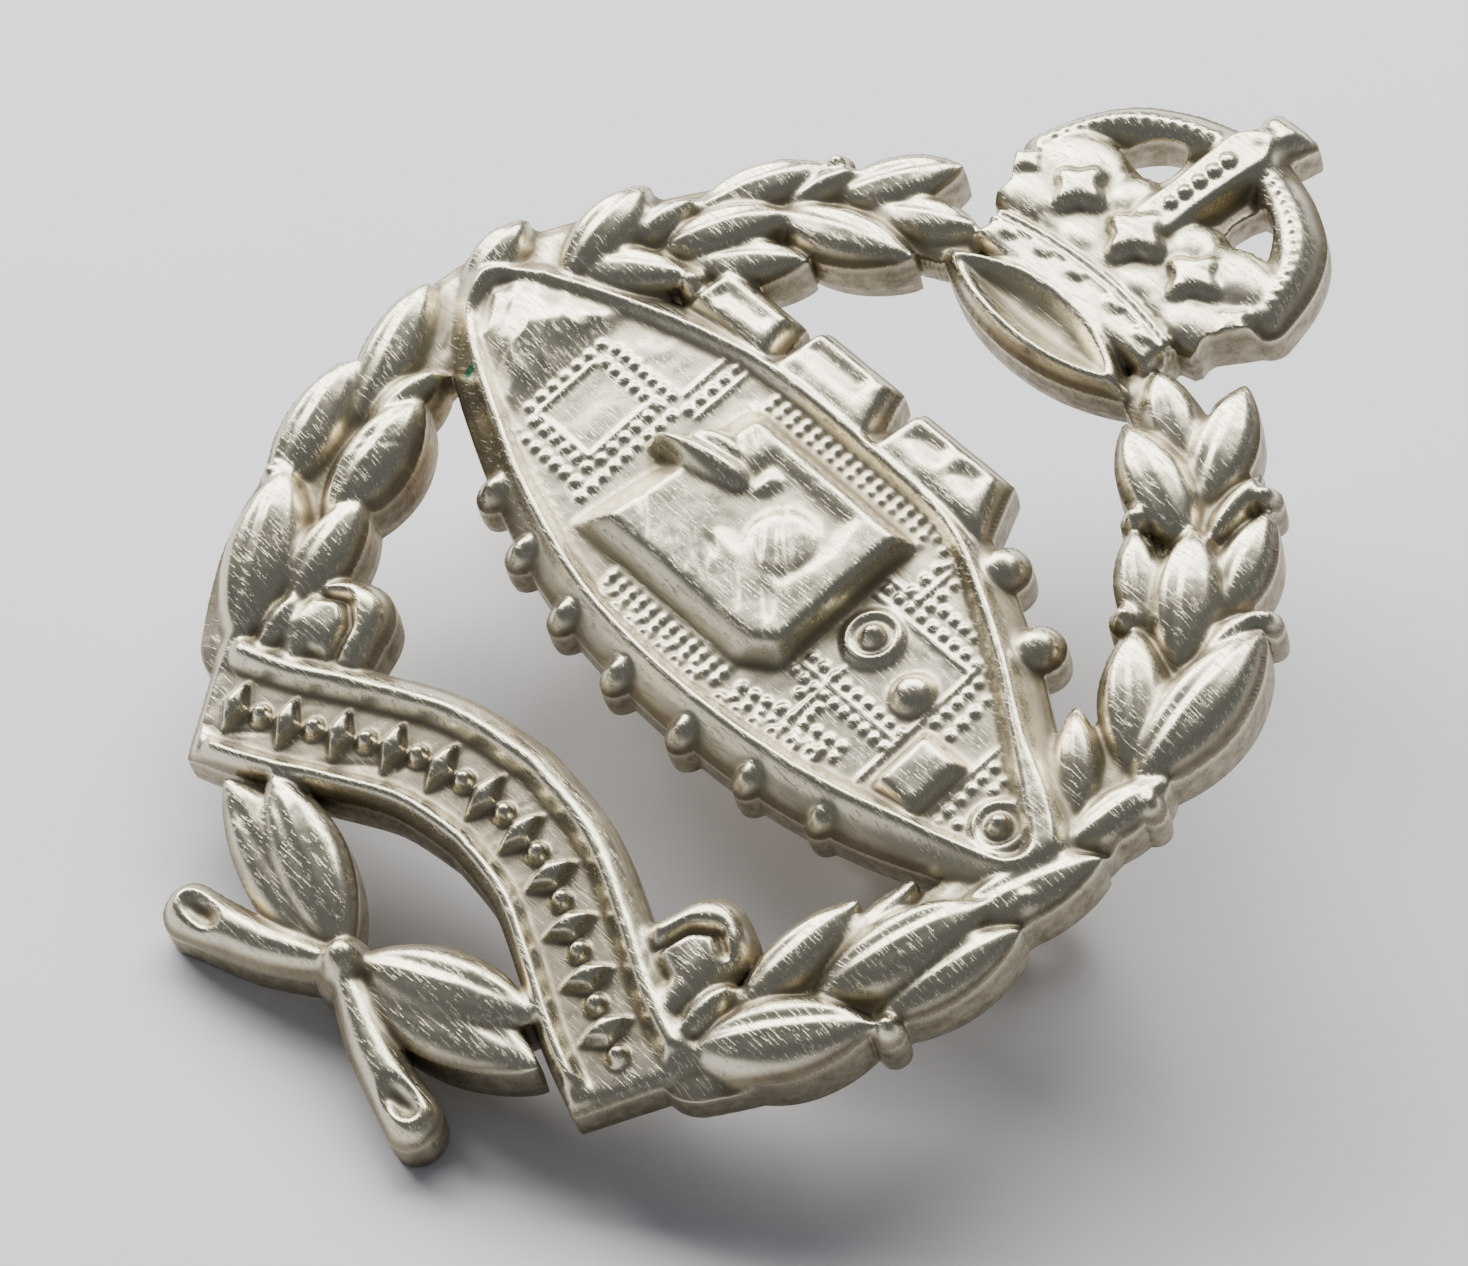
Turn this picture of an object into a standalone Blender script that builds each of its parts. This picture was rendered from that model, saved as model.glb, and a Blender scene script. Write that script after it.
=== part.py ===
"""Die-struck cap badge: struck face, two wire lugs behind it and the split pin that runs through them.

The face is drawn flat, in millimetres, with x across the badge, y towards the crown and z out of the
face. Each feature knows its height over the flat and its own crease lines. The crease lines are
triangulated, every corner is lifted to the relief's height, and the sheet is closed with a hollow back.
The badge lies on its lugs and on its two stem ends, so the whole drawing is bowed and tilted at the end.
"""
import math

import bmesh
import bpy
import numpy as np
from mathutils import Vector
from mathutils.geometry import delaunay_2d_cdt

MM = 0.001

# Driving dimensions, in millimetres and degrees
SHEET = 0.9                # thickness of the struck sheet
EDGE = 1.0                 # height of the cut edge all round
BOW = 0.00463              # the face drops by BOW * y * y towards its ends
TILT = 15.2                # crown end up, as it lies on lugs and stem ends
CREASE_SNAP = 0.03         # crease points nearer than this become one
PINHOLE_CORNERS = 8        # a hole with fewer corners than this is filled

CROWN_TOP_Y = 21.75
STEM_END_Y = -20.9
FIELD = 1.5                # hull's sunken field
HULL_RIM = 2.15            # hull's raised rim
SPONSON_TOP = 2.45
BOSS_TOP = 2.6

LUG_X = 7.0                # lugs stand this far left and right
LUG_Y = -0.6
LUG_WIRE_R = 0.65
LUG_BEND_R = 1.8           # centre line of the U bend
LUG_GAP = 0.08             # brazing gap under the sheet
PIN_LEFT = -13.5
PIN_RIGHT = 9.0            # where the legs meet the eye
PIN_R = 0.7                # both legs together
PIN_SLIT = 0.16            # gap between the legs
PIN_EYE_R = 1.15           # centre line of the eye
PIN_CLEARANCE = 0.12       # between the pin and the bend it lies in

SMOOTH_SHARP_ANGLE = math.radians(35)


# ---------------------------------------------------------------- plane geometry

def smooth_curve(points, steps):
    """Catmull-Rom curve through the points, with the given number of steps in each span."""
    pts = np.array([points[0]] + list(points) + [points[-1]], float)
    curve = []
    for k in range(1, len(pts) - 2):
        a, b, c, d = pts[k - 1], pts[k], pts[k + 1], pts[k + 2]
        for s in np.arange(steps) / steps:
            curve.append(0.5 * (2 * b + (c - a) * s + (2 * a - 5 * b + 4 * c - d) * s ** 2
                                + (3 * b - a - 3 * c + d) * s ** 3))
    curve.append(pts[-2])
    return np.array(curve)


def mirrored(points):
    return [(-x, y) for x, y in reversed(points)]


def closed_by_mirror(right_side):
    """Outline of a shape symmetric about x = 0, from its right side listed bottom to top."""
    return list(right_side) + mirrored(right_side)


def inside_distance(outline, x, y):
    """Distance to a closed outline, positive inside it and negative outside."""
    near = np.full(x.shape, np.inf)
    inside = np.zeros(x.shape, bool)
    for (x0, y0), (x1, y1) in zip(outline, np.roll(outline, -1, axis=0)):
        dx, dy = x1 - x0, y1 - y0
        along = np.clip(((x - x0) * dx + (y - y0) * dy) / (dx * dx + dy * dy), 0, 1)
        near = np.minimum(near, np.hypot(x - x0 - along * dx, y - y0 - along * dy))
        if y0 != y1:
            crosses = ((y0 > y) != (y1 > y)) & (x < x0 + (y - y0) * dx / dy)
            inside ^= crosses
    return np.where(inside, near, -near)


def inset(outline, distance):
    """The outline moved inwards, corner by corner."""
    pts = np.array(outline, float)
    area = np.sum(pts[:, 0] * np.roll(pts[:, 1], -1) - np.roll(pts[:, 0], -1) * pts[:, 1])
    turn = 1 if area > 0 else -1
    before = pts - np.roll(pts, 1, axis=0)
    after = np.roll(pts, -1, axis=0) - pts
    before /= np.linalg.norm(before, axis=1)[:, None]
    after /= np.linalg.norm(after, axis=1)[:, None]
    normal = turn * np.stack([-(before + after)[:, 1], (before + after)[:, 0]], 1)
    normal /= np.linalg.norm(normal, axis=1)[:, None]
    cosine = np.clip(turn * (normal[:, 1] * after[:, 0] - normal[:, 0] * after[:, 1]), 0.5, 1)
    return pts + normal * (distance / cosine)[:, None]


# ---------------------------------------------------------------- relief features

class Pad:
    """Raised plate with a sloping edge: low at the outline, high inside the bevel."""

    def __init__(self, outline, low, high, bevel):
        self.outline = np.array(outline, float)
        self.low, self.high, self.bevel = low, high, bevel

    def height(self, x, y):
        depth = inside_distance(self.outline, x, y)
        rise = np.clip(depth / self.bevel, 0, 1)
        return np.where(depth > -CREASE_SNAP, self.low + (self.high - self.low) * rise, -1)

    def creases(self):
        return [(self.outline, True), (inset(self.outline, self.bevel), True)]


class Leaf:
    """Pointed leaf with a raised midrib, from its base to its tip."""

    def __init__(self, base, tip, width, crest, edge=EDGE, belly=0.45):
        self.base, self.tip = np.array(base, float), np.array(tip, float)
        self.width, self.crest, self.edge, self.belly = width, crest, edge, belly
        self.length = np.linalg.norm(self.tip - self.base)
        self.axis = (self.tip - self.base) / self.length

    def half_width(self, s):
        """Half width at a fraction s of the length, widest at the belly."""
        warped = np.clip(s, 0, 1) ** (math.log(0.5) / math.log(self.belly))
        return 0.5 * self.width * np.sin(math.pi * warped) ** 0.8

    def height(self, x, y):
        dx, dy = x - self.base[0], y - self.base[1]
        s = (dx * self.axis[0] + dy * self.axis[1]) / self.length
        across = np.abs(dy * self.axis[0] - dx * self.axis[1])
        half = self.half_width(s)
        covered = (s >= -0.01) & (s <= 1.01) & (across <= half + CREASE_SNAP)
        rise = np.clip(1 - across / np.maximum(half, 0.05), 0, 1)
        crest = self.edge + (self.crest - self.edge) * np.sin(math.pi * np.clip(s, 0.08, 0.92)) ** 0.5
        return np.where(covered, self.edge + (crest - self.edge) * rise, -1)

    def creases(self):
        stations = np.array([0, 0.12, 0.32, 0.55, 0.78, 0.92, 1])
        spine = self.base + np.outer(stations * self.length, self.axis)
        side = np.outer(self.half_width(stations), [-self.axis[1], self.axis[0]])
        return [(np.vstack([spine + side, (spine - side)[-2:0:-1]]), True), (spine, False)]


class Band:
    """Strip along a centre line; the profile lists (fraction of half width, height) from centre to edge."""

    def __init__(self, line, half_widths, profile):
        self.line = np.array(line, float)
        ends = np.linspace(0, 1, len(half_widths))
        self.half = np.interp(np.linspace(0, 1, len(self.line)), ends, half_widths)
        self.profile = profile

    def height(self, x, y):
        fraction = np.full(x.shape, np.inf)
        for k in range(len(self.line) - 1):
            (x0, y0), (x1, y1) = self.line[k], self.line[k + 1]
            dx, dy = x1 - x0, y1 - y0
            along = np.clip(((x - x0) * dx + (y - y0) * dy) / (dx * dx + dy * dy), 0, 1)
            half = self.half[k] + (self.half[k + 1] - self.half[k]) * along
            fraction = np.minimum(fraction, np.hypot(x - x0 - along * dx, y - y0 - along * dy) / half)
        steps, heights = zip(*self.profile)
        slack = CREASE_SNAP / self.half.max()
        return np.where(fraction <= 1 + slack, np.interp(fraction, steps, heights), -1)

    def creases(self):
        along = np.gradient(self.line, axis=0)
        along /= np.linalg.norm(along, axis=1)[:, None]
        side = np.stack([-along[:, 1], along[:, 0]], 1) * self.half[:, None]
        lines = []
        for step, _ in self.profile:
            if step == 0:
                lines.append((self.line, False))
            else:
                lines.append((np.vstack([self.line + side * step, (self.line - side * step)[::-1]]), True))
        return lines


class Disc:
    """Turned feature: the profile lists (radius, height) from the middle outwards."""

    def __init__(self, centre, profile, sides=10):
        self.centre, self.profile, self.sides = centre, profile, sides

    def height(self, x, y):
        radius = np.hypot(x - self.centre[0], y - self.centre[1])
        steps, heights = zip(*self.profile)
        return np.where(radius <= steps[-1] + CREASE_SNAP, np.interp(radius, steps, heights), -1)

    def creases(self):
        turn = np.arange(self.sides) * 2 * math.pi / self.sides
        circle = np.stack([np.cos(turn), np.sin(turn)], 1)
        rings = [(self.centre + circle * radius, True) for radius, _ in self.profile if radius > 0]
        return rings + [(np.array([self.centre, self.centre + circle[0] * 0.2]), False)]


class Sink(Pad):
    """Sunken panel: lowers whatever it lies on, down to the high value, inside a sloping edge."""


# ---------------------------------------------------------------- the design

BRANCH = [(10.6, -12.9), (12.1, -10.4), (13.2, -7.0), (13.8, -3.0),
          (13.6, 1.0), (12.5, 5.0), (10.3, 8.3), (7.6, 10.4), (4.2, 11.4)]
BRANCH_HALF_WIDTHS = [1.5, 1.8, 1.5, 1.5, 1.5, 1.5, 0.8]
LEFT_BRANCH = [(-10.6, -12.9), (-12.1, -10.4), (-13.1, -7.0), (-13.9, -3.0),
               (-13.8, 0.5), (-12.0, 4.0), (-9.9, 7.2), (-7.4, 10.1), (-4.2, 11.3)]

# leaves of the wreath: base, tip, width, crest
RIGHT_LEAVES = [
    ((8.7, 9.3), (6.55, 13.4), 2.1, 2.0),
    ((7.3, 10.3), (4.1, 12.0), 1.7, 1.9),
    ((9.6, 8.2), (5.0, 9.9), 2.3, 2.3),
    ((9.9, 8.4), (9.25, 11.45), 1.0, 2.1),
    ((12.2, 6.8), (10.4, 10.7), 1.8, 2.1),
    ((12.6, 4.9), (9.3, 8.7), 2.5, 2.4),
    ((11.0, 5.0), (7.9, 7.5), 1.6, 2.0),
    ((12.7, 5.2), (12.9, 8.1), 1.1, 2.2),
    ((14.4, 1.2), (13.5, 7.5), 2.7, 2.5),
    ((14.2, 1.6), (10.5, 5.0), 2.3, 2.2),
    ((14.0, -0.6), (11.2, 2.0), 1.5, 2.0),
    ((14.2, -1.5), (15.0, 2.2), 1.6, 2.0),
    ((13.3, -5.8), (15.4, -0.9), 2.0, 2.0),
    ((12.2, -9.7), (14.1, -4.2), 2.6, 2.5),
    ((14.0, -9.0), (15.3, -4.1), 1.8, 2.1),
    ((10.6, -11.6), (11.0, -6.7), 1.8, 2.1),
    ((12.0, -9.8), (11.8, -5.1), 1.3, 1.9),
    ((10.4, -13.2), (14.3, -9.1), 2.7, 2.4),
    ((9.9, -13.4), (10.1, -10.9), 1.1, 2.1),
    ((9.3, -13.4), (8.7, -11.2), 1.1, 2.0),
]
LEFT_LEAVES = [
    ((-8.4, 9.6), (-6.0, 13.3), 2.1, 2.0),
    ((-7.4, 10.2), (-3.9, 12.0), 1.7, 1.9),
    ((-9.3, 8.0), (-4.4, 9.8), 2.2, 2.3),
    ((-9.0, 8.3), (-8.3, 11.0), 1.1, 2.1),
    ((-11.1, 6.2), (-9.1, 10.4), 2.0, 2.2),
    ((-10.7, 4.7), (-8.4, 8.4), 2.0, 2.4),
    ((-9.9, 4.8), (-6.8, 7.6), 1.8, 2.1),
    ((-11.6, 4.0), (-11.2, 6.8), 1.4, 2.1),
    ((-12.1, 1.9), (-12.6, 6.1), 2.3, 2.4),
    ((-12.9, 2.3), (-9.0, 4.8), 1.8, 2.1),
    ((-14.3, -0.4), (-14.6, 2.7), 1.7, 2.1),
    ((-13.3, -6.0), (-15.3, -0.8), 2.1, 2.1),
    ((-12.8, -6.0), (-12.5, -2.8), 1.4, 2.2),
    ((-11.2, -8.9), (-12.1, -3.9), 2.5, 2.5),
    ((-13.4, -9.4), (-15.0, -4.3), 2.2, 2.2),
    ((-10.0, -11.8), (-10.9, -7.3), 2.1, 2.3),
    ((-10.4, -13.4), (-13.6, -8.2), 2.8, 2.5),
    ((-12.0, -12.0), (-12.9, -10.0), 1.2, 1.9),
    ((-9.7, -13.3), (-10.0, -10.8), 1.1, 2.1),
    ((-8.5, -13.1), (-9.3, -10.9), 1.2, 2.0),
]
BERRIES = [(9.95, 10.95), (7.7, 7.75), (10.0, 5.1), (13.2, 7.85), (15.2, 1.15), (14.6, -8.9),
           (14.8, -3.4), (-8.9, 10.7), (-8.9, 4.6), (-13.9, -8.7)]

HULL = [(-14.9, 0.9), (-14.6, -0.7), (-12.8, -2.2), (-10, -3.5), (-7, -4.7), (-4, -5.6), (-0.5, -6.05),
        (3, -6.1), (6.5, -5.8), (9.5, -5.2), (12.2, -4.3), (14.4, -3.6), (15.2, -2.0), (14.9, -1.0),
        (13.4, 0.1), (11.3, 1.1), (9, 2.5), (6, 4.0), (3.6, 4.8), (0, 5.0), (-4, 5.0), (-7, 4.5),
        (-10, 3.6), (-13.2, 2.3)]
FIELD_EDGE = [(-13.9, 0.5), (-13.5, -0.8), (-12, -1.7), (-10, -2.7), (-8, -3.6), (-6, -4.25), (-4, -4.85),
              (-2, -5.2), (1, -5.35), (4, -5.2), (7, -4.8), (9.5, -4.2), (12, -3.6), (13.5, -3.0),
              (13.7, -2.1), (12, -0.9), (10, 0.45), (8, 1.75), (5.5, 3.1), (4, 3.75), (2.5, 4.0),
              (0, 4.05), (-4, 4.05), (-6, 3.85), (-9, 3.1), (-11, 2.4), (-13.2, 1.5)]
TRACK_KNOBS = [(-8.2, -4.6), (-5.9, -5.5), (-3.2, -6.1), (-0.35, -6.35), (2.65, -6.35), (5.4, -6.05),
               (8.1, -5.5)]
TOP_KNOBS = [(5.9, 3.95), (8.7, 2.75)]

# blocks along the hull's top: left, right at the foot, right at the top, top
TOP_BLOCKS = [(-8.5, -4.9, -5.2, 5.95), (-4.7, -0.3, -1.1, 6.3), (-0.2, 4.9, 3.9, 6.25)]
SPONSON = [(-5.3, -3.75), (2.1, -3.8), (3.45, -2.85), (3.5, 2.75), (-4.0, 2.8)]
BOSS = (0.75, -0.2)

SCROLL_HALF = 2.15
SCROLL_LINE = [(0, -11.4), (2.8, -11.8), (5.4, -12.9), (7.9, -14.1), (10.3, -14.9), (12.5, -15.5)]
SCROLL_CUT = ((11.5, -12.9), (9.2, -16.6))
CURL = [(6.7, -11.7), (6.8, -10.4), (7.2, -9.5), (7.9, -9.05), (8.7, -9.1), (9.6, -9.6), (9.9, -10.5),
        (9.6, -12.4)]

STEM = [(0.3, -18.0), (2.8, -18.65), (4.6, -19.05), (5.6, -19.15), (6.1, -19.7), (6.05, -20.4), (5.4, -20.85),
        (4.5, -20.7), (2.5, -20.05), (0.3, -18.8)]

CROWN_CAP = [(3.7, 12.9), (4.4, 13.9), (5.2, 15.0), (5.55, 15.7), (4.6, 16.7), (3.2, 17.1), (1.8, 16.9),
             (0.9, 16.5)]
CIRCLET = [(4.0, 11.6), (3.85, 12.9), (2.0, 13.35)]
CROWN_ARCH = [(4.9, 15.7), (4.35, 17.2), (3.45, 18.35), (2.1, 19.2), (0.6, 19.7)]
CROSS_BLOCK = [(1.0, 19.5), (0.85, 20.2), (0.82, 20.9), (1.0, 21.35), (0.9, CROWN_TOP_Y)]


def lens(half_width, middle, low, high, steps=10):
    """Eye-shaped outline between a lower and an upper arc that share their corners."""
    u = np.linspace(-1, 1, steps + 1)
    bulge = 1 - np.abs(u) ** 2.2
    lower = np.stack([u * half_width, middle + (low - middle) * bulge], 1)
    upper = np.stack([u * half_width, middle + (high - middle) * bulge], 1)[::-1]
    return np.vstack([lower, upper[1:-1]])


def both_sides(make, *points_then_values):
    """The feature and its mirror image; the points come first, the plain values after them."""
    flipped = []
    for value in points_then_values:
        if isinstance(value, tuple) and len(value) == 2:
            flipped.append((-value[0], value[1]))
        elif isinstance(value, list):
            flipped.append([(-x, y) for x, y in value])
        else:
            flipped.append(value)
    return [make(*points_then_values), make(*flipped)]


def dome(centre, radius, top, edge=EDGE):
    shoulder = edge + (top - edge) * 0.75
    return Disc(centre, [(0, top), (radius * 0.6, shoulder), (radius, edge)], sides=8)


def ring_with_dome(centre, radius):
    dip = FIELD + 0.1
    return Disc(centre, [(0, 2.3), (radius * 0.35, 2.1), (radius * 0.5, dip), (radius * 0.65, dip),
                         (radius * 0.8, 2.0), (radius, FIELD)], sides=12)


def wreath():
    rounded = [(0, 1.4), (1, EDGE)]
    shapes = [Band(smooth_curve(line, 2), BRANCH_HALF_WIDTHS, rounded) for line in (BRANCH, LEFT_BRANCH)]
    shapes += [Leaf(base, tip, width, crest) for base, tip, width, crest in RIGHT_LEAVES + LEFT_LEAVES]
    shapes += [dome(centre, 0.5, 1.9) for centre in BERRIES]
    return shapes


def hull():
    shapes = [Pad(HULL, EDGE, HULL_RIM, 0.5)]
    shapes += [dome(centre, 0.66, 1.75) for centre in TRACK_KNOBS]
    shapes += [dome(centre, 0.85, 1.9) for centre in TOP_KNOBS]
    for left, right, top_right, top in TOP_BLOCKS:
        outline = [(left - 0.2, 4.0), (right, 4.0), (top_right, top), (left, top)]
        shapes.append(Pad(outline, EDGE, 2.0, 0.4))
    return shapes


def hull_field():
    """Sunken field of the hull, inside its rim."""
    return [Sink(FIELD_EDGE, HULL_RIM, FIELD, 0.35)]


def hull_fittings():
    gun = Leaf((-1.6, 0.55), (-5.3, -0.15), 1.0, 2.95, edge=SPONSON_TOP - 0.2, belly=0.35)
    plate = [(8.4, -3.85), (10.35, -3.85), (10.35, -1.45), (8.4, -1.45)]
    return [
        Pad(SPONSON, FIELD, SPONSON_TOP, 0.5),
        Disc(BOSS, [(0, BOSS_TOP), (0.95, BOSS_TOP - 0.05), (1.2, SPONSON_TOP)], sides=14),
        gun,
        ring_with_dome((4.85, -0.35), 1.0),
        dome((7.2, -0.9), 0.72, 2.15, FIELD),
        Pad(plate, FIELD, 2.05, 0.3),
        ring_with_dome((12.4, -2.25), 0.9),
    ]


def scroll_outline(half, back):
    """Outline of the scroll within half of its centre line, cut straight a distance back from its ends."""
    line = smooth_curve(SCROLL_LINE, 3)
    along = np.gradient(line, axis=0)
    along /= np.linalg.norm(along, axis=1)[:, None]
    side = np.stack([-along[:, 1], along[:, 0]], 1) * half
    (cx, cy), (ex, ey) = SCROLL_CUT
    cut = np.array([ex - cx, ey - cy]) / math.hypot(ex - cx, ey - cy)
    edges = []
    for edge in (line - side, line + side):
        to_end = cut[1] * (edge[:, 0] - cx) - cut[0] * (edge[:, 1] - cy) - back
        last = np.nonzero(to_end > 0)[0][-1]
        share = to_end[last] / (to_end[last] - to_end[last + 1])
        corner = edge[last] + (edge[last + 1] - edge[last]) * share
        edges.append([tuple(point) for point in edge[:last]] + [tuple(corner)])
    lower, upper = edges
    return closed_by_mirror(lower[1:] + upper[:0:-1])


def scroll():
    return [Pad(scroll_outline(SCROLL_HALF, 0), EDGE, 2.0, 0.35)] + both_sides(Pad, CURL, EDGE, 2.0, 0.6)


def scroll_field():
    """Sunken field of the scroll, between its rims."""
    return [Sink(scroll_outline(1.5, 0.9), 2.0, 1.4, 0.3)]


def knot():
    shapes = both_sides(Leaf, (0.3, -18.2), (7.3, -16.5), 2.4, 1.9)
    shapes += both_sides(Leaf, (0.1, -17.8), (6.2, -15.5), 2.5, 2.1)
    shapes += both_sides(Pad, STEM, EDGE, 1.8, 0.4)
    shapes += [dome((0, -18.15), 0.95, 1.6), dome((0.05, -18.1), 0.65, 2.3, 1.5)]
    return shapes


def crown():
    arch_profile = [(0, 1.75), (0.6, 1.5), (1, EDGE)]
    arch = [tuple(point) for point in smooth_curve(CROWN_ARCH, 2)]
    shapes = [
        Pad(closed_by_mirror(CROWN_CAP), EDGE, 1.75, 0.5),
        Pad(closed_by_mirror(CIRCLET), EDGE, 1.9, 0.3),
        Pad(lens(4.25, 10.75, 9.5, 12.25), EDGE, 2.1, 0.35),
        Band([(0, 15.8), (0, 18.0), (0, 19.7)], [0.85, 0.92, 1.0], [(0, 2.3), (0.7, 2.2), (1, EDGE)]),
        Pad(closed_by_mirror(CROSS_BLOCK), EDGE, 1.8, 0.3),
        dome((0, 20.25), 0.66, 2.15),
    ]
    shapes += both_sides(lambda line: Band(line, [0.72, 0.92, 0.75], arch_profile), arch)
    for centre, radius, top in [((2.55, 15.1), 0.9, 2.4), ((4.6, 14.75), 0.6, 2.15), ((3.3, 16.1), 1.0, 2.0)]:
        shapes += both_sides(lambda place: dome(place, radius, top), centre)
    shapes.append(dome((0.1, 15.0), 1.0, 2.5))
    return shapes


def crown_opening():
    return [Sink(lens(3.5, 10.8, 10.0, 11.75), 2.2, 1.2, 0.25)]


def relief_features():
    """Raised features, the panels sunk into them, and what stands in those panels."""
    raised = wreath() + scroll() + knot() + crown() + hull()
    return raised, hull_field() + scroll_field() + crown_opening(), hull_fittings()


def relief_height(x, y):
    """Height of the face over its flat back plane; negative where there is no metal."""
    raised, sunk, fittings = relief_features()
    height = np.full(x.shape, -1.0)
    for shape in raised:
        height = np.maximum(height, shape.height(x, y))
    for panel in sunk:
        floor = panel.height(x, y)
        height = np.where((floor > 0) & (height > 0), np.minimum(height, floor), height)
    for shape in fittings:
        height = np.maximum(height, shape.height(x, y))
    return height


# ---------------------------------------------------------------- the struck sheet

def triangulated_creases():
    """Corners and triangles of the plane that follow every crease line of the relief."""
    points, edges = [], []
    for group in relief_features():
        for shape in group:
            for line, closed in shape.creases():
                first = len(points)
                points += [Vector((float(x), float(y))) for x, y in line]
                edges += [(first + k, first + k + 1) for k in range(len(line) - 1)]
                if closed:
                    edges.append((first + len(line) - 1, first))
    corners, _, triangles, *_ = delaunay_2d_cdt(points, edges, [], 0, CREASE_SNAP)
    return np.array([tuple(corner) for corner in corners]), triangles


def bowed(x, y, z):
    return Vector((x * MM, y * MM, (z - BOW * y * y) * MM))


def rim_sides(triangles):
    """Sides that only one of the triangles has, in that triangle's direction."""
    sides = {(t[k], t[(k + 1) % 3]) for t in triangles for k in range(3)}
    return [(start, end) for start, end in sides if (end, start) not in sides]


def pinhole_loops(triangles):
    """Rim loops with so few corners that they only bound a sliver of air."""
    follows = dict(rim_sides(triangles))
    for start in follows:
        loop, here = [start], follows[start]
        while here != start and len(loop) < PINHOLE_CORNERS:
            loop.append(here)
            here = follows[here]
        if here == start:
            yield set(loop)


def without_pinholes(triangles, metal):
    """Fill the slivers of air that two neighbouring features leave between them."""
    metal = list(metal)
    for loop in pinhole_loops([t for t, inside in zip(triangles, metal) if inside]):
        for k, triangle in enumerate(triangles):
            metal[k] = metal[k] or loop.issuperset(triangle)
    return metal


def struck_face_mesh():
    corners, triangles = triangulated_creases()
    middles = np.array([corners[list(triangle)].mean(axis=0) for triangle in triangles])
    metal = relief_height(middles[:, 0], middles[:, 1]) > 0
    metal = without_pinholes(triangles, metal)
    kept = [triangle for triangle, inside in zip(triangles, metal) if inside]
    rim = rim_sides(kept)
    on_rim = {corner for side in rim for corner in side}

    top = np.maximum(relief_height(corners[:, 0], corners[:, 1]), EDGE)
    mesh = bmesh.new()
    front, back = {}, {}
    for index in sorted({corner for triangle in kept for corner in triangle}):
        x, y = corners[index]
        hollow = 0.0 if index in on_rim else max(0.0, top[index] - SHEET)
        front[index] = mesh.verts.new(bowed(x, y, top[index]))
        back[index] = mesh.verts.new(bowed(x, y, hollow))
    for a, b, c in kept:
        mesh.faces.new((front[a], front[b], front[c]))
        mesh.faces.new((back[c], back[b], back[a]))
    for start, end in rim:
        mesh.faces.new((front[start], back[start], back[end]))
        mesh.faces.new((front[start], back[end], front[end]))
    return mesh


# ---------------------------------------------------------------- wire parts

def sweep(path, section_at):
    """Closed skin through the sections that section_at(index, point) gives along the path."""
    mesh = bmesh.new()
    loops = []
    for index, point in enumerate(path):
        loops.append([mesh.verts.new(corner * MM) for corner in section_at(index, point)])
    for here, there in zip(loops, loops[1:]):
        for k in range(len(here)):
            n = (k + 1) % len(here)
            mesh.faces.new((here[k], here[n], there[n], there[k]))
    mesh.faces.new(list(reversed(loops[0])))
    mesh.faces.new(loops[-1])
    bmesh.ops.recalc_face_normals(mesh, faces=mesh.faces)
    return mesh


def path_frames(path, flat_normal):
    """Side direction at each point of a path that stays in one plane."""
    frames = []
    for index in range(len(path)):
        ahead = path[min(index + 1, len(path) - 1)] - path[max(index - 1, 0)]
        frames.append(ahead.normalized().cross(flat_normal).normalized())
    return frames


def tilted(y, z):
    """Where a point of the flat drawing comes to lie, as (y, z), once the badge is bowed and tilted."""
    turn = math.radians(TILT)
    bowed_z = z - BOW * y * y
    return y * math.cos(turn) - bowed_z * math.sin(turn), y * math.sin(turn) + bowed_z * math.cos(turn)


def standing_offset():
    """Shift, as (y, z), that puts the middle of the badge's length over the origin and its foot on z = 0."""
    crown_end, _ = tilted(CROWN_TOP_Y, 0)
    stem_end, _ = tilted(STEM_END_Y, EDGE)
    _, foot = tilted(STEM_END_Y, 0)
    return -(crown_end + stem_end) / 2, -foot


def bend_centre_z():
    """Height of the lugs' bend centres that lets the lugs touch the table with the stem ends."""
    reach = standing_offset()[1] - (LUG_BEND_R + LUG_WIRE_R)
    return -(reach + math.sin(math.radians(TILT)) * LUG_Y) / math.cos(math.radians(TILT))


def lug_mesh(sides=10, bend_steps=10):
    """U of round wire standing on its two flared feet, its loop away from the face."""
    foot_z = FIELD - SHEET - LUG_GAP - BOW * (LUG_Y + LUG_BEND_R) ** 2
    low = bend_centre_z()
    path = [Vector((0, LUG_BEND_R, foot_z)), Vector((0, LUG_BEND_R, foot_z - 0.3)),
            Vector((0, LUG_BEND_R, foot_z - 0.8))]
    for step in range(bend_steps + 1):
        turn = math.pi * step / bend_steps
        path.append(Vector((0, LUG_BEND_R * math.cos(turn), low - LUG_BEND_R * math.sin(turn))))
    path += [Vector((0, -LUG_BEND_R, foot_z - drop)) for drop in (0.8, 0.3, 0)]
    frames = path_frames(path, Vector((1, 0, 0)))
    flare = {0: 1.7, 1: 1.5, len(path) - 1: 1.7, len(path) - 2: 1.5}

    def section(index, point):
        radius = LUG_WIRE_R * flare.get(index, 1)
        turns = [2 * math.pi * k / sides for k in range(sides)]
        across = Vector((1, 0, 0))
        return [point + radius * (math.cos(t) * frames[index] + math.sin(t) * across) for t in turns]
    return sweep(path, section)


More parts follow.
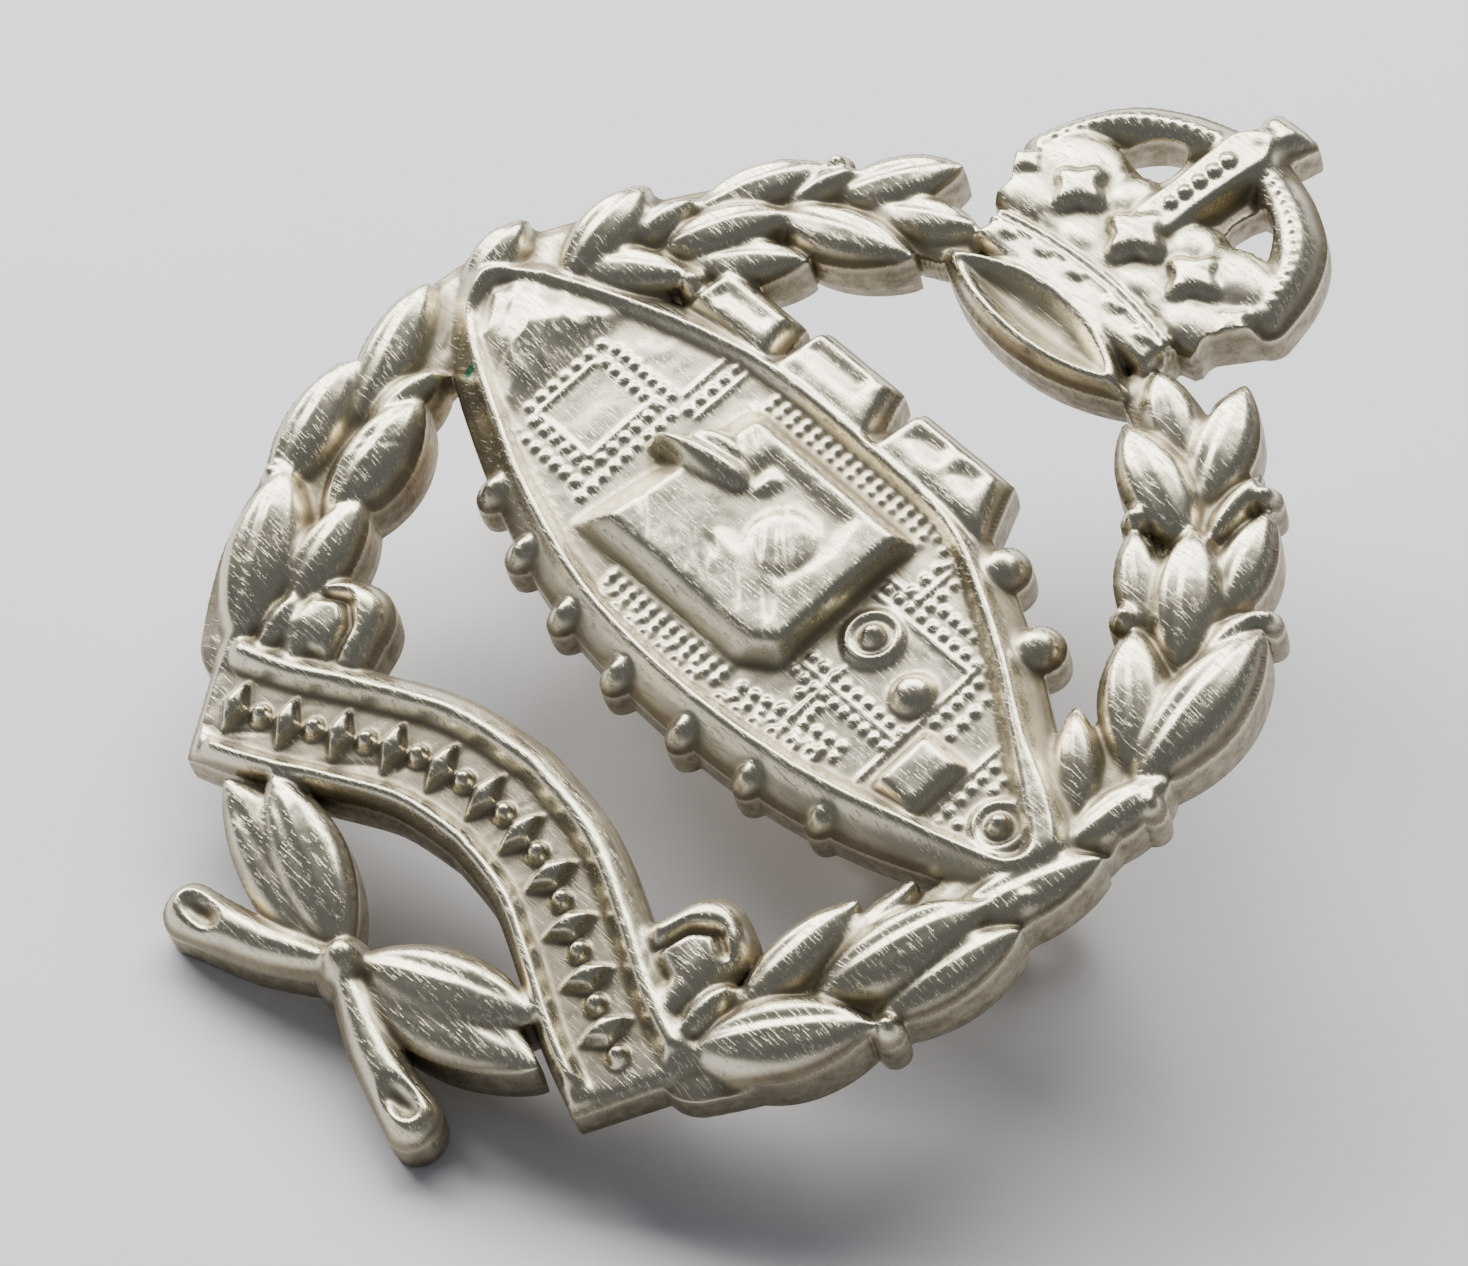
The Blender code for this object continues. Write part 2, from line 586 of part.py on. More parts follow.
def split_pin_mesh(eye_steps=14, arc_steps=5):
    """Half-round wire folded into two legs along x, with an eye at the right-hand end."""
    leg_y = PIN_SLIT / 2
    flat = PIN_R - leg_y
    eye_x = PIN_RIGHT + PIN_EYE_R + 0.3
    path = [Vector((PIN_LEFT, leg_y, 0)), Vector((PIN_RIGHT, leg_y, 0))]
    for step in range(eye_steps + 1):
        turn = math.pi * (0.86 - 1.72 * step / eye_steps)
        path.append(Vector((eye_x + PIN_EYE_R * math.cos(turn), PIN_EYE_R * math.sin(turn), 0)))
    path += [Vector((PIN_RIGHT, -leg_y, 0)), Vector((PIN_LEFT + 0.8, -leg_y, 0))]
    frames = path_frames(path, Vector((0, 0, 1)))

    def section(index, point):
        outward = -frames[index]
        turns = [math.pi * k / arc_steps for k in range(arc_steps + 1)]
        return [point + flat * (math.sin(t) * outward + math.cos(t) * Vector((0, 0, 1))) for t in turns]
    return sweep(path, section)


# ---------------------------------------------------------------- the scene

def metal(name, colour, roughness):
    material = bpy.data.materials.new(name)
    material.use_nodes = True
    shader = material.node_tree.nodes["Principled BSDF"]
    shader.inputs["Base Color"].default_value = (*colour, 1)
    shader.inputs["Metallic"].default_value = 1.0
    shader.inputs["Roughness"].default_value = roughness
    return material


def add_piece(name, mesh, material, parent, location=(0, 0, 0)):
    data = bpy.data.meshes.new(name)
    mesh.to_mesh(data)
    mesh.free()
    data.materials.append(material)
    data.shade_smooth()
    data.set_sharp_from_angle(angle=SMOOTH_SHARP_ANGLE)
    piece = bpy.data.objects.new(name, data)
    bpy.context.collection.objects.link(piece)
    piece.parent = parent
    piece.location = location
    return piece


def build():
    for old in list(bpy.data.objects):
        bpy.data.objects.remove(old, do_unlink=True)

    badge_plane = bpy.data.objects.new("badge_plane", None)
    bpy.context.collection.objects.link(badge_plane)
    offset_y, offset_z = standing_offset()
    badge_plane.location = (0, offset_y * MM, offset_z * MM)
    badge_plane.rotation_euler = (math.radians(TILT), 0, 0)

    nickel_silver = metal("nickel_silver", (0.66, 0.62, 0.53), 0.32)
    brass = metal("brass", (0.72, 0.52, 0.24), 0.35)
    copper_wire = metal("copper_wire", (0.55, 0.33, 0.2), 0.45)

    add_piece("struck_face", struck_face_mesh(), nickel_silver, badge_plane)
    add_piece("lug_left", lug_mesh(), copper_wire, badge_plane, (-LUG_X * MM, LUG_Y * MM, 0))
    add_piece("lug_right", lug_mesh(), copper_wire, badge_plane, (LUG_X * MM, LUG_Y * MM, 0))

    slack = LUG_BEND_R - LUG_WIRE_R - PIN_R - PIN_CLEARANCE
    tilt = math.radians(TILT)
    pin_y = LUG_Y - slack * math.sin(tilt)
    pin_z = bend_centre_z() - slack * math.cos(tilt)
    add_piece("split_pin", split_pin_mesh(), brass, badge_plane, (0, pin_y * MM, pin_z * MM))


build()
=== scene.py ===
"""Looks of the die-struck cap badge: the relief at full detail, its wire parts, metals, floor and light.

The face is drawn flat in millimetres, as part.py draws it: x across, y towards the crown, z out of the
face. A canvas holds the height of the relief at every point of a fine grid. Features are raised on it,
panels are sunk into it and small ornament is added, and the grid is then cut along the badge's outline,
closed with a hollow back, bowed and tilted onto the frame.
"""

import math

import bmesh
import bpy
import numpy as np
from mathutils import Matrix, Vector

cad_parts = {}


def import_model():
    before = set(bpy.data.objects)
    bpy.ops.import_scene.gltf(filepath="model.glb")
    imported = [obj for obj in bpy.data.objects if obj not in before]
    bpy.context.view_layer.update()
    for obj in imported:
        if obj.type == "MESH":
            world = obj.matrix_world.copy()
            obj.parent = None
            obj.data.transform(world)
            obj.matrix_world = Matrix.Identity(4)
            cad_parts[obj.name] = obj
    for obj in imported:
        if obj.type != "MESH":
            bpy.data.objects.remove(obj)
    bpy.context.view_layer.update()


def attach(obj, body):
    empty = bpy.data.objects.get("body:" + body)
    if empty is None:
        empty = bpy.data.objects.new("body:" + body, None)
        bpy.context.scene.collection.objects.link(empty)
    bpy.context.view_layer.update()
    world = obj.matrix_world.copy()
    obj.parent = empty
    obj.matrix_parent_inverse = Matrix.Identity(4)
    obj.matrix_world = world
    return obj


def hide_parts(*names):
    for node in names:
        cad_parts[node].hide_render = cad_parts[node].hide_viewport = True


MM = 0.001

# Dimensions shared with the CAD model, in millimetres and degrees
SHEET = 0.9
EDGE = 1.0
BOW = 0.00463
TILT = 15.2
CROWN_TOP_Y = 21.75
STEM_END_Y = -20.9
FIELD = 1.5
HULL_RIM = 2.15
SPONSON_TOP = 2.45
LUG_X = 7.0
LUG_Y = -0.6
LUG_WIRE_R = 0.65
LUG_BEND_R = 1.8
PIN_LEFT = -13.5
PIN_RIGHT = 9.0
PIN_R = 0.7
PIN_SLIT = 0.16
PIN_EYE_R = 1.15
PIN_CLEARANCE = 0.12

# The grid that the relief is sampled on, in millimetres
CELL = 0.075
HALF_WIDTH = 16.4
LOW_Y, HIGH_Y = -21.6, 22.4
SOFTENING = 0.1            # rounding that striking and wear leave on the broad forms
FINE_SOFTENING = 0.06      # the same on rivets, beads and ornament
OUTSIDE = -1.0             # height where there is no metal


# ---------------------------------------------------------------- plane geometry

def spline(points, steps, closed=False):
    """Catmull-Rom curve through the points, with the given number of steps in each span."""
    pts = [np.array(point, float) for point in points]
    spans = len(pts) if closed else len(pts) - 1
    around = [pts[-1]] + pts + pts[:2] if closed else [pts[0]] + pts + [pts[-1]]
    curve = []
    for a, b, c, d in zip(around[:spans], around[1:], around[2:], around[3:]):
        for s in np.arange(steps) / steps:
            curve.append(0.5 * (2 * b + (c - a) * s + (2 * a - 5 * b + 4 * c - d) * s ** 2
                                + (3 * b - a - 3 * c + d) * s ** 3))
    if not closed:
        curve.append(pts[-1])
    return np.array(curve)


def evenly(line, pitch):
    """Points and headings at equal steps along a line, about the given pitch apart."""
    line = np.array(line, float)
    length = np.concatenate([[0], np.cumsum(np.linalg.norm(np.diff(line, axis=0), axis=1))])
    count = max(2, int(round(length[-1] / pitch)) + 1)
    marks = np.linspace(0, length[-1], count)
    points = np.stack([np.interp(marks, length, line[:, k]) for k in (0, 1)], 1)
    headings = np.gradient(points, axis=0)
    return points, headings / np.linalg.norm(headings, axis=1)[:, None]


def to_segment(x, y, start, end):
    """How far along a segment its nearest point lies, from 0 to 1, and the distance to that point."""
    (x0, y0), (x1, y1) = start, end
    dx, dy = x1 - x0, y1 - y0
    along = np.clip(((x - x0) * dx + (y - y0) * dy) / (dx * dx + dy * dy), 0, 1)
    return along, np.hypot(x - x0 - along * dx, y - y0 - along * dy)


def inside_distance(outline, x, y):
    """Distance to a closed outline, positive inside it and negative outside."""
    near = np.full(x.shape, np.inf)
    inside = np.zeros(x.shape, bool)
    for start, end in zip(outline, np.roll(outline, -1, axis=0)):
        near = np.minimum(near, to_segment(x, y, start, end)[1])
        (x0, y0), (x1, y1) = start, end
        if y0 != y1:
            inside ^= ((y0 > y) != (y1 > y)) & (x < x0 + (y - y0) * (x1 - x0) / (y1 - y0))
    return np.where(inside, near, -near)


def smooth_step(value, low, high):
    """Smooth rise from 0 to 1 between low and high."""
    t = np.clip((value - low) / (high - low), 0, 1)
    return t * t * (3 - 2 * t)


def value_noise(x, y, seed):
    """Smooth random field between -1 and 1 with features about one unit across."""
    lattice = np.random.default_rng(seed).uniform(-1, 1, (64, 64))
    column, row = np.floor(x).astype(int), np.floor(y).astype(int)
    u, v = smooth_step(x - column, 0, 1), smooth_step(y - row, 0, 1)
    low = lattice[row % 64, column % 64] * (1 - u) + lattice[row % 64, (column + 1) % 64] * u
    high = lattice[(row + 1) % 64, column % 64] * (1 - u) + lattice[(row + 1) % 64, (column + 1) % 64] * u
    return low * (1 - v) + high * v


def lens(half_width, middle, low, high, steps=24):
    """Eye-shaped outline between a lower and an upper arc that share their corners."""
    u = np.linspace(-1, 1, steps + 1)
    bulge = 1 - np.abs(u) ** 2.2
    lower = np.stack([u * half_width, middle + (low - middle) * bulge], 1)
    upper = np.stack([u * half_width, middle + (high - middle) * bulge], 1)[::-1]
    return np.vstack([lower, upper[1:-1]])


def closed_by_mirror(right_side):
    return list(right_side) + [(-x, y) for x, y in reversed(right_side)]


def rectangle(left, low, right, high):
    return [(left, low), (right, low), (right, high), (left, high)]


# ---------------------------------------------------------------- the canvas

class Canvas:
    """Height of the relief on a grid, and the signed distance inside its outline."""

    def __init__(self):
        columns = int(round(2 * HALF_WIDTH / CELL)) + 1
        rows = int(round((HIGH_Y - LOW_Y) / CELL)) + 1
        self.x = np.linspace(-HALF_WIDTH, HALF_WIDTH, columns)[None, :].repeat(rows, 0)
        self.y = np.linspace(LOW_Y, HIGH_Y, rows)[:, None].repeat(columns, 1)
        self.height = np.full(self.x.shape, OUTSIDE)
        self.cover = np.full(self.x.shape, -9.0)

    def window(self, box):
        x0, y0, x1, y1 = box
        columns = slice(max(0, int((x0 + HALF_WIDTH) / CELL) - 1), int((x1 + HALF_WIDTH) / CELL) + 3)
        rows = slice(max(0, int((y0 - LOW_Y) / CELL) - 1), int((y1 - LOW_Y) / CELL) + 3)
        return rows, columns

    def lift(self, *shapes):
        """The relief is at least as high as each shape, wherever the shape covers it."""
        for shape in shapes:
            part = self.window(shape.box())
            cover, height = shape.at(self.x[part], self.y[part])
            self.cover[part] = np.maximum(self.cover[part], cover)
            higher = np.maximum(self.height[part], height)
            self.height[part] = np.where(cover > -CELL, higher, self.height[part])

    def stand(self, *shapes):
        """Like lift, but only on metal that is already there."""
        for shape in shapes:
            part = self.window(shape.box())
            cover, height = shape.at(self.x[part], self.y[part])
            held = (cover > -CELL) & (self.height[part] > 0)
            self.height[part] = np.where(held, np.maximum(self.height[part], height), self.height[part])

    def sink(self, *shapes):
        """The relief is at most as high as each shape, wherever the shape covers it."""
        for shape in shapes:
            part = self.window(shape.box())
            cover, height = shape.at(self.x[part], self.y[part])
            held = (cover > 0) & (self.height[part] > 0)
            self.height[part] = np.where(held, np.minimum(self.height[part], height), self.height[part])

    def pierce(self, *shapes):
        """Cuts a hole through the sheet in the form of each shape."""
        for shape in shapes:
            part = self.window(shape.box())
            cover, _ = shape.at(self.x[part], self.y[part])
            self.cover[part] = np.minimum(self.cover[part], -cover)

    def add(self, box, amount_at):
        """Adds amount_at(x, y) to the relief inside a box."""
        part = self.window(box)
        self.height[part] += np.where(self.height[part] > 0, amount_at(self.x[part], self.y[part]), 0)

    def soften(self, sigma):
        metal = self.height > 0
        self.height = np.where(metal, blurred(self.height, metal, sigma), self.height)


def blurred(values, mask, sigma):
    """Gaussian blur that only mixes values inside the mask."""
    reach = max(1, int(math.ceil(2.5 * sigma / CELL)))
    shifts = range(-reach, reach + 1)
    kernel = np.exp(-0.5 * (np.arange(-reach, reach + 1) * CELL / sigma) ** 2)
    kernel /= kernel.sum()
    total, weight = np.where(mask, values, 0.0), mask.astype(float)
    for axis in (0, 1):
        total = sum(k * np.roll(total, shift, axis) for k, shift in zip(kernel, shifts))
        weight = sum(k * np.roll(weight, shift, axis) for k, shift in zip(kernel, shifts))
    return total / np.maximum(weight, 1e-6)


# ---------------------------------------------------------------- shapes for the canvas

class Outlined:
    """Shape within a closed outline."""

    def __init__(self, outline):
        self.outline = np.array(outline, float)

    def box(self):
        return (*self.outline.min(axis=0), *self.outline.max(axis=0))


class Pad(Outlined):
    """Raised plate; the profile lists (distance inside the outline, height)."""

    def __init__(self, outline, profile):
        super().__init__(outline)
        self.profile = profile

    def at(self, x, y):
        depth = inside_distance(self.outline, x, y)
        steps, heights = zip(*self.profile)
        return depth, np.interp(depth, steps, heights)


class Block(Outlined):
    """Convex block whose sides slope in over a run of their own."""

    def __init__(self, outline, runs, low, high):
        super().__init__(outline)
        self.runs, self.low, self.high = runs, low, high

    def at(self, x, y):
        rise = np.full(x.shape, 1.0)
        cover = np.full(x.shape, 9.0)
        for (x0, y0), (x1, y1), run in zip(self.outline, np.roll(self.outline, -1, axis=0), self.runs):
            depth = ((x1 - x0) * (y - y0) - (y1 - y0) * (x - x0)) / math.hypot(x1 - x0, y1 - y0)
            cover = np.minimum(cover, depth)
            rise = np.minimum(rise, depth / run)
        return cover, self.low + (self.high - self.low) * np.clip(rise, 0, 1)


class Leaf:
    """Laurel leaf from its base to its tip: a full body with a midrib and faint lengthwise veins."""

    def __init__(self, base, tip, width, crest, edge=EDGE, belly=0.5, lift=0.45, veins=0.018):
        self.base, self.tip = np.array(base, float), np.array(tip, float)
        self.width, self.crest, self.edge, self.belly = width, crest, edge, belly
        self.lift, self.veins = lift, veins
        self.length = np.linalg.norm(self.tip - self.base)
        self.axis = (self.tip - self.base) / self.length

    def box(self):
        low = np.minimum(self.base, self.tip) - self.width / 2
        high = np.maximum(self.base, self.tip) + self.width / 2
        return (*low, *high)

    def at(self, x, y):
        dx, dy = x - self.base[0], y - self.base[1]
        s = (dx * self.axis[0] + dy * self.axis[1]) / self.length
        across = dy * self.axis[0] - dx * self.axis[1]
        inner = np.clip(s, 0, 1)
        half = 0.5 * self.width * np.sin(math.pi * inner ** (math.log(0.5) / math.log(self.belly))) ** 0.7
        half = np.maximum(half, 0.03)
        beyond = np.maximum(np.maximum(-s, s - 1), 0) * self.length
        cover = half - np.abs(across) - beyond
        v = np.clip(np.abs(across) / half, 0, 1)
        along = np.sin(math.pi * np.clip(s, 0.05, 0.95)) ** 0.4
        body = (1 - v ** 3) ** 0.65
        height = self.edge + self.lift * inner + (self.crest - self.edge - 0.6 * self.lift) * body * along
        fade = smooth_step(s, 0.03, 0.2) * (1 - smooth_step(s, 0.8, 0.97))
        midrib = 0.07 * np.exp(-(across / 0.1) ** 2) - 0.09 * np.exp(-((across - 0.2) / 0.14) ** 2)
        veining = self.veins * np.cos(9 * v + 2 * s) * (1 - v ** 4)
        return cover, height + (midrib + veining) * fade


class Band:
    """Strip along a centre line; the profile lists (fraction of half width, height)."""

    def __init__(self, line, half_widths, profile):
        self.line = np.array(line, float)
        ends = np.linspace(0, 1, len(half_widths))
        self.half = np.interp(np.linspace(0, 1, len(self.line)), ends, half_widths)
        self.profile = profile

    def box(self):
        reach = self.half.max()
        return (*(self.line.min(axis=0) - reach), *(self.line.max(axis=0) + reach))

    def at(self, x, y):
        fraction = np.full(x.shape, np.inf)
        for k in range(len(self.line) - 1):
            along, gap = to_segment(x, y, self.line[k], self.line[k + 1])
            half = self.half[k] + (self.half[k + 1] - self.half[k]) * along
            fraction = np.minimum(fraction, gap / half)
        steps, heights = zip(*self.profile)
        return (1 - fraction) * self.half.mean(), np.interp(fraction, steps, heights)


class Disc:
    """Turned feature, lobed if asked; the profile lists (radius, height) from the middle outwards."""

    def __init__(self, centre, profile, squash=(1, 1), lobes=0, lobe_depth=0.0):
        self.centre, self.profile, self.squash = centre, profile, squash
        self.lobes, self.lobe_depth = lobes, lobe_depth

    def box(self):
        reach = self.profile[-1][0] * max(self.squash) * (1 + self.lobe_depth)
        x, y = self.centre
        return x - reach, y - reach, x + reach, y + reach

    def at(self, x, y):
        dx, dy = (x - self.centre[0]) / self.squash[0], (y - self.centre[1]) / self.squash[1]
        radius = np.hypot(dx, dy) / (1 + self.lobe_depth * np.cos(self.lobes * np.arctan2(dy, dx)))
        steps, heights = zip(*self.profile)
        return steps[-1] - radius, np.interp(radius, steps, heights)


def dome(centre, radius, top, foot=EDGE, squash=(1, 1)):
    turns = np.linspace(0, 1, 7)
    profile = [(radius * t, foot + (top - foot) * math.sqrt(max(0.0, 1 - t * t))) for t in turns]
    return Disc(centre, profile, squash)


def both_sides(make, *places):
    """The shape that make(*places) gives and its mirror image; a place is a point or a line of points."""
    flipped = [np.array(place, float) * (-1, 1) for place in places]
    return [make(*places), make(*flipped)]


# ---------------------------------------------------------------- the wreath

BRANCH = [(10.6, -12.9), (12.1, -10.4), (13.2, -7.0), (13.8, -3.0),
          (13.6, 1.0), (12.5, 5.0), (10.3, 8.3), (7.6, 10.4), (4.2, 11.4)]
BRANCH_HALF_WIDTHS = [1.5, 1.8, 1.5, 1.5, 1.5, 1.5, 0.8]
LEFT_BRANCH = [(-10.6, -12.9), (-12.1, -10.4), (-13.1, -7.0), (-13.9, -3.0),
               (-13.8, 0.5), (-12.0, 4.0), (-9.9, 7.2), (-7.4, 10.1), (-4.2, 11.3)]

# leaves: base x and y, tip x and y, width, crest
RIGHT_LEAVES = [
    (8.7, 9.3, 6.55, 13.4, 2.1, 2.0), (7.3, 10.3, 4.1, 12.0, 1.7, 1.9), (9.6, 8.2, 5.0, 9.9, 2.3, 2.3),
    (9.9, 8.4, 9.25, 11.45, 1.0, 2.1), (12.2, 6.8, 10.4, 10.7, 1.8, 2.1), (12.6, 4.9, 9.3, 8.7, 2.5, 2.4),
    (11.0, 5.0, 7.9, 7.5, 1.6, 2.0), (12.7, 5.2, 12.9, 8.1, 1.1, 2.2), (14.4, 1.2, 13.5, 7.5, 2.7, 2.5),
    (14.2, 1.6, 10.5, 5.0, 2.3, 2.2), (14.0, -0.6, 11.2, 2.0, 1.5, 2.0),
    (14.2, -1.5, 15.0, 2.2, 1.6, 2.0), (13.3, -5.8, 15.4, -0.9, 2.0, 2.0),
    (12.2, -9.7, 14.1, -4.2, 2.6, 2.5), (14.0, -9.0, 15.3, -4.1, 1.8, 2.1),
    (10.6, -11.6, 11.0, -6.7, 1.8, 2.1), (12.0, -9.8, 11.8, -5.1, 1.3, 1.9),
    (10.4, -13.2, 14.3, -9.1, 2.7, 2.4), (9.9, -13.4, 10.1, -10.9, 1.1, 2.1),
    (9.3, -13.4, 8.7, -11.2, 1.1, 2.0),
]
LEFT_LEAVES = [
    (-8.4, 9.6, -6.0, 13.3, 2.1, 2.0), (-7.4, 10.2, -3.9, 12.0, 1.7, 1.9),
    (-9.3, 8.0, -4.4, 9.8, 2.2, 2.3), (-9.0, 8.3, -8.3, 11.0, 1.1, 2.1),
    (-11.1, 6.2, -9.1, 10.4, 2.0, 2.2), (-10.7, 4.7, -8.4, 8.4, 2.0, 2.4),
    (-9.9, 4.8, -6.8, 7.6, 1.8, 2.1), (-11.6, 4.0, -11.2, 6.8, 1.4, 2.1),
    (-12.1, 1.9, -12.6, 6.1, 2.3, 2.4), (-12.9, 2.3, -9.0, 4.8, 1.8, 2.1),
    (-14.3, -0.4, -14.6, 2.7, 1.7, 2.1), (-13.3, -6.0, -15.3, -0.8, 2.1, 2.1),
    (-12.8, -6.0, -12.5, -2.8, 1.4, 2.2), (-11.2, -8.9, -12.1, -3.9, 2.5, 2.5),
    (-13.4, -9.4, -15.0, -4.3, 2.2, 2.2), (-10.0, -11.8, -10.9, -7.3, 2.1, 2.3),
    (-10.4, -13.4, -13.6, -8.2, 2.8, 2.5), (-12.0, -12.0, -12.9, -10.0, 1.2, 1.9),
    (-9.7, -13.3, -10.0, -10.8, 1.1, 2.1), (-8.5, -13.1, -9.3, -10.9, 1.2, 2.0),
]
BERRIES = [(9.95, 10.95), (7.7, 7.75), (10.0, 5.1), (13.2, 7.85), (15.2, 1.15), (14.6, -8.9),
           (14.8, -3.4), (-8.9, 10.7), (-8.9, 4.6), (-13.9, -8.7)]


def draw_wreath(canvas):
    profile = [(0, 1.35), (0.7, 1.25), (1, EDGE)]
    for line in (BRANCH, LEFT_BRANCH):
        canvas.lift(Band(spline(line, 6), BRANCH_HALF_WIDTHS, profile))
    for x0, y0, x1, y1, width, crest in RIGHT_LEAVES + LEFT_LEAVES:
        canvas.lift(Leaf((x0, y0), (x1, y1), width, crest))
    for centre in BERRIES:
        canvas.lift(dome(centre, 0.5, 2.1))


# ---------------------------------------------------------------- the hull

HULL = [(-14.9, 0.9), (-14.6, -0.7), (-12.8, -2.3), (-10, -3.75), (-7, -5.0), (-4, -5.9), (-0.5, -6.35),
        (3, -6.4), (6.5, -6.1), (9.5, -5.4), (12.2, -4.4), (14.4, -3.6), (15.2, -2.0), (14.9, -1.0),
        (13.4, 0.1), (11.3, 1.1), (9, 2.5), (6, 4.0), (3.6, 4.8), (0, 5.0), (-4, 5.0), (-7, 4.5),
        (-10, 3.6), (-13.2, 2.3)]
FIELD_EDGE = [(-13.9, 0.5), (-13.5, -0.8), (-12, -1.7), (-10, -2.7), (-8, -3.6), (-6, -4.25), (-4, -4.85),
              (-2, -5.2), (1, -5.35), (4, -5.2), (7, -4.8), (9.5, -4.2), (12, -3.6), (13.5, -3.0),
              (13.7, -2.1), (12, -0.9), (10, 0.45), (8, 1.75), (5.5, 3.1), (4, 3.75), (2.5, 4.0),
              (0, 4.05), (-4, 4.05), (-6, 3.85), (-9, 3.1), (-11, 2.4), (-13.2, 1.5)]
TRACK_KNOBS = [(-8.1, -4.4), (-5.8, -5.25), (-3.15, -5.85), (-0.35, -6.15), (2.65, -6.15), (5.35, -5.85),
               (8.0, -5.3)]
TOP_KNOBS = [(5.9, 3.95), (8.7, 2.75)]

# top blocks: left, right at the foot, right at the top, top, and their windows (left, low, right, high)
TOP_BLOCKS = [
    (-8.5, -4.9, -5.2, 5.95, [(-8.1, 4.3, -7.3, 5.25), (-7.6, 4.7, -5.7, 5.3)]),
    (-4.7, -0.3, -1.1, 6.3, [(-4.4, 4.9, -1.6, 5.85)]),
    (-0.2, 4.9, 3.9, 6.25, [(0.5, 4.85, 2.1, 5.8), (2.4, 4.85, 3.6, 5.8)]),
]

SPONSON = [(-5.3, -3.75), (2.1, -3.8), (3.45, -2.85), (3.5, 2.75), (-4.0, 2.8)]
SPONSON_RUNS = [0.85, 0.5, 0.28, 0.5, 1.1]
PANEL = [(-2.3, 0.1), (-1.2, -1.3), (1.9, -1.25), (2.25, 0.6), (2.0, 1.95), (-1.9, 2.0)]
BOSS = (0.75, -0.2)
RIVET_R = 0.21
RIVET_RISE = 0.14
RIVET_PITCH = 0.47
RIDGE_HALF = 0.1
RIDGE_RISE = 0.13

# rows of rivets and ridges on the field: start x and y, end x and y
RIVET_ROWS = [
    (-3.7, 3.45, 3.3, 3.45), (-3.7, 3.08, 3.3, 3.08), (3.7, 3.35, 4.7, 2.95), (4.5, 2.65, 4.5, 1.55),
    (5.3, 2.55, 5.3, 1.55), (5.75, 1.7, 7.6, 1.7), (3.9, 1.1, 8.3, 1.1), (8.35, 0.7, 8.35, -1.1),
    (9.0, 1.0, 9.0, -1.1), (3.9, -2.0, 7.8, -2.0), (3.8, -2.65, 7.8, -2.65), (4.5, -3.05, 4.5, -3.75),
    (5.3, -3.05, 5.3, -3.4), (3.0, -4.1, 6.8, -3.5), (3.1, -4.48, 6.9, -3.88), (-2.9, -4.1, 2.2, -4.12),
    (-2.9, -4.45, 2.2, -4.47), (10.8, -0.5, 10.8, -3.8), (11.35, -0.7, 11.35, -1.5),
    (11.35, -3.0, 11.35, -3.5), (-9.4, 1.2, -9.4, -1.8), (-8.8, 0.85, -6.5, 0.85), (-8.9, 1.4, -6.3, 1.4),
    (-6.3, 0.9, -6.3, -1.6), (-5.75, 0.9, -5.75, -2.9), (-5.5, 3.4, -5.5, 1.4),
    (-8.9, -2.05, -6.4, -2.05), (-9.1, -2.65, -6.3, -2.65), (-7.6, -3.35, -4.4, -4.4),
]
RIDGES = [
    (-3.9, 3.78, 3.5, 3.78), (-4.1, 2.82, 3.5, 2.82), (3.7, 1.4, 4.9, 1.4), (4.92, 3.0, 4.92, 1.4),
    (3.8, -2.32, 7.9, -2.32), (4.92, -1.6, 4.92, -4.0), (-3.0, -3.85, 2.3, -3.85),
    (-9.05, 0.6, -9.05, -1.8), (-9.0, -1.8, -6.6, -1.8), (-6.6, 0.6, -6.6, -1.8), (8.0, 1.3, 8.0, -4.1),
    (10.45, 0.0, 10.45, -3.9), (-9.9, 2.4, -9.9, -2.5), (-6.0, 3.8, -6.0, 1.7), (3.8, 0.75, 7.9, 0.75),
    (-5.1, 3.5, -5.1, 1.4),
]
CURLS = [(-2.7, -4.85), (-2.0, -4.87), (-1.3, -4.9), (-0.6, -4.9), (0.1, -4.9), (0.8, -4.9), (1.5, -4.9),
         (2.8, -4.9), (3.5, -4.85), (4.2, -4.75), (4.9, -4.6), (5.6, -4.45), (6.3, -4.3)]

# the worn left end
WORN_END = [(-9.5, 2.9), (-9.6, -2.7), (-11.6, -1.9), (-13.0, -1.3), (-13.9, 0.2), (-13.2, 1.5)]
WORN_END_BOX = (-13.9, -2.4, -9.6, 2.6)


def draw_hull(canvas):
    outline = spline(HULL, 4, closed=True)
    inner = spline(FIELD_EDGE, 4, closed=True)
    for centre in TRACK_KNOBS:
        profile = [(0, 1.8), (0.3, 1.7), (0.48, 1.4), (0.66, EDGE)]
        canvas.lift(Disc(centre, profile, squash=(0.9, 1.15)))
    for centre in TOP_KNOBS:
        canvas.lift(dome(centre, 0.85, 1.9))
    for left, right, top_right, top, _ in TOP_BLOCKS:
        block = [(left - 0.2, 3.9), (right + 0.2, 3.9), (top_right, top),
                 (left + 0.25, top), (left, top - 0.3)]
        canvas.lift(Pad(block, [(0, EDGE), (0.15, 1.5), (0.4, 1.95), (0.6, 2.0)]))
    rim = [(0, EDGE), (0.2, 1.3), (0.7, 1.75), (0.95, HULL_RIM), (2, HULL_RIM)]
    canvas.lift(Pad(outline, rim))
    canvas.sink(Pad(inner, [(0, HULL_RIM), (0.2, 1.8), (0.3, 1.7), (0.42, FIELD)]))
    for *_, windows in TOP_BLOCKS:
        for window in windows:
            canvas.sink(Pad(rectangle(*window), [(0, 2.0), (0.4, 1.8)]))


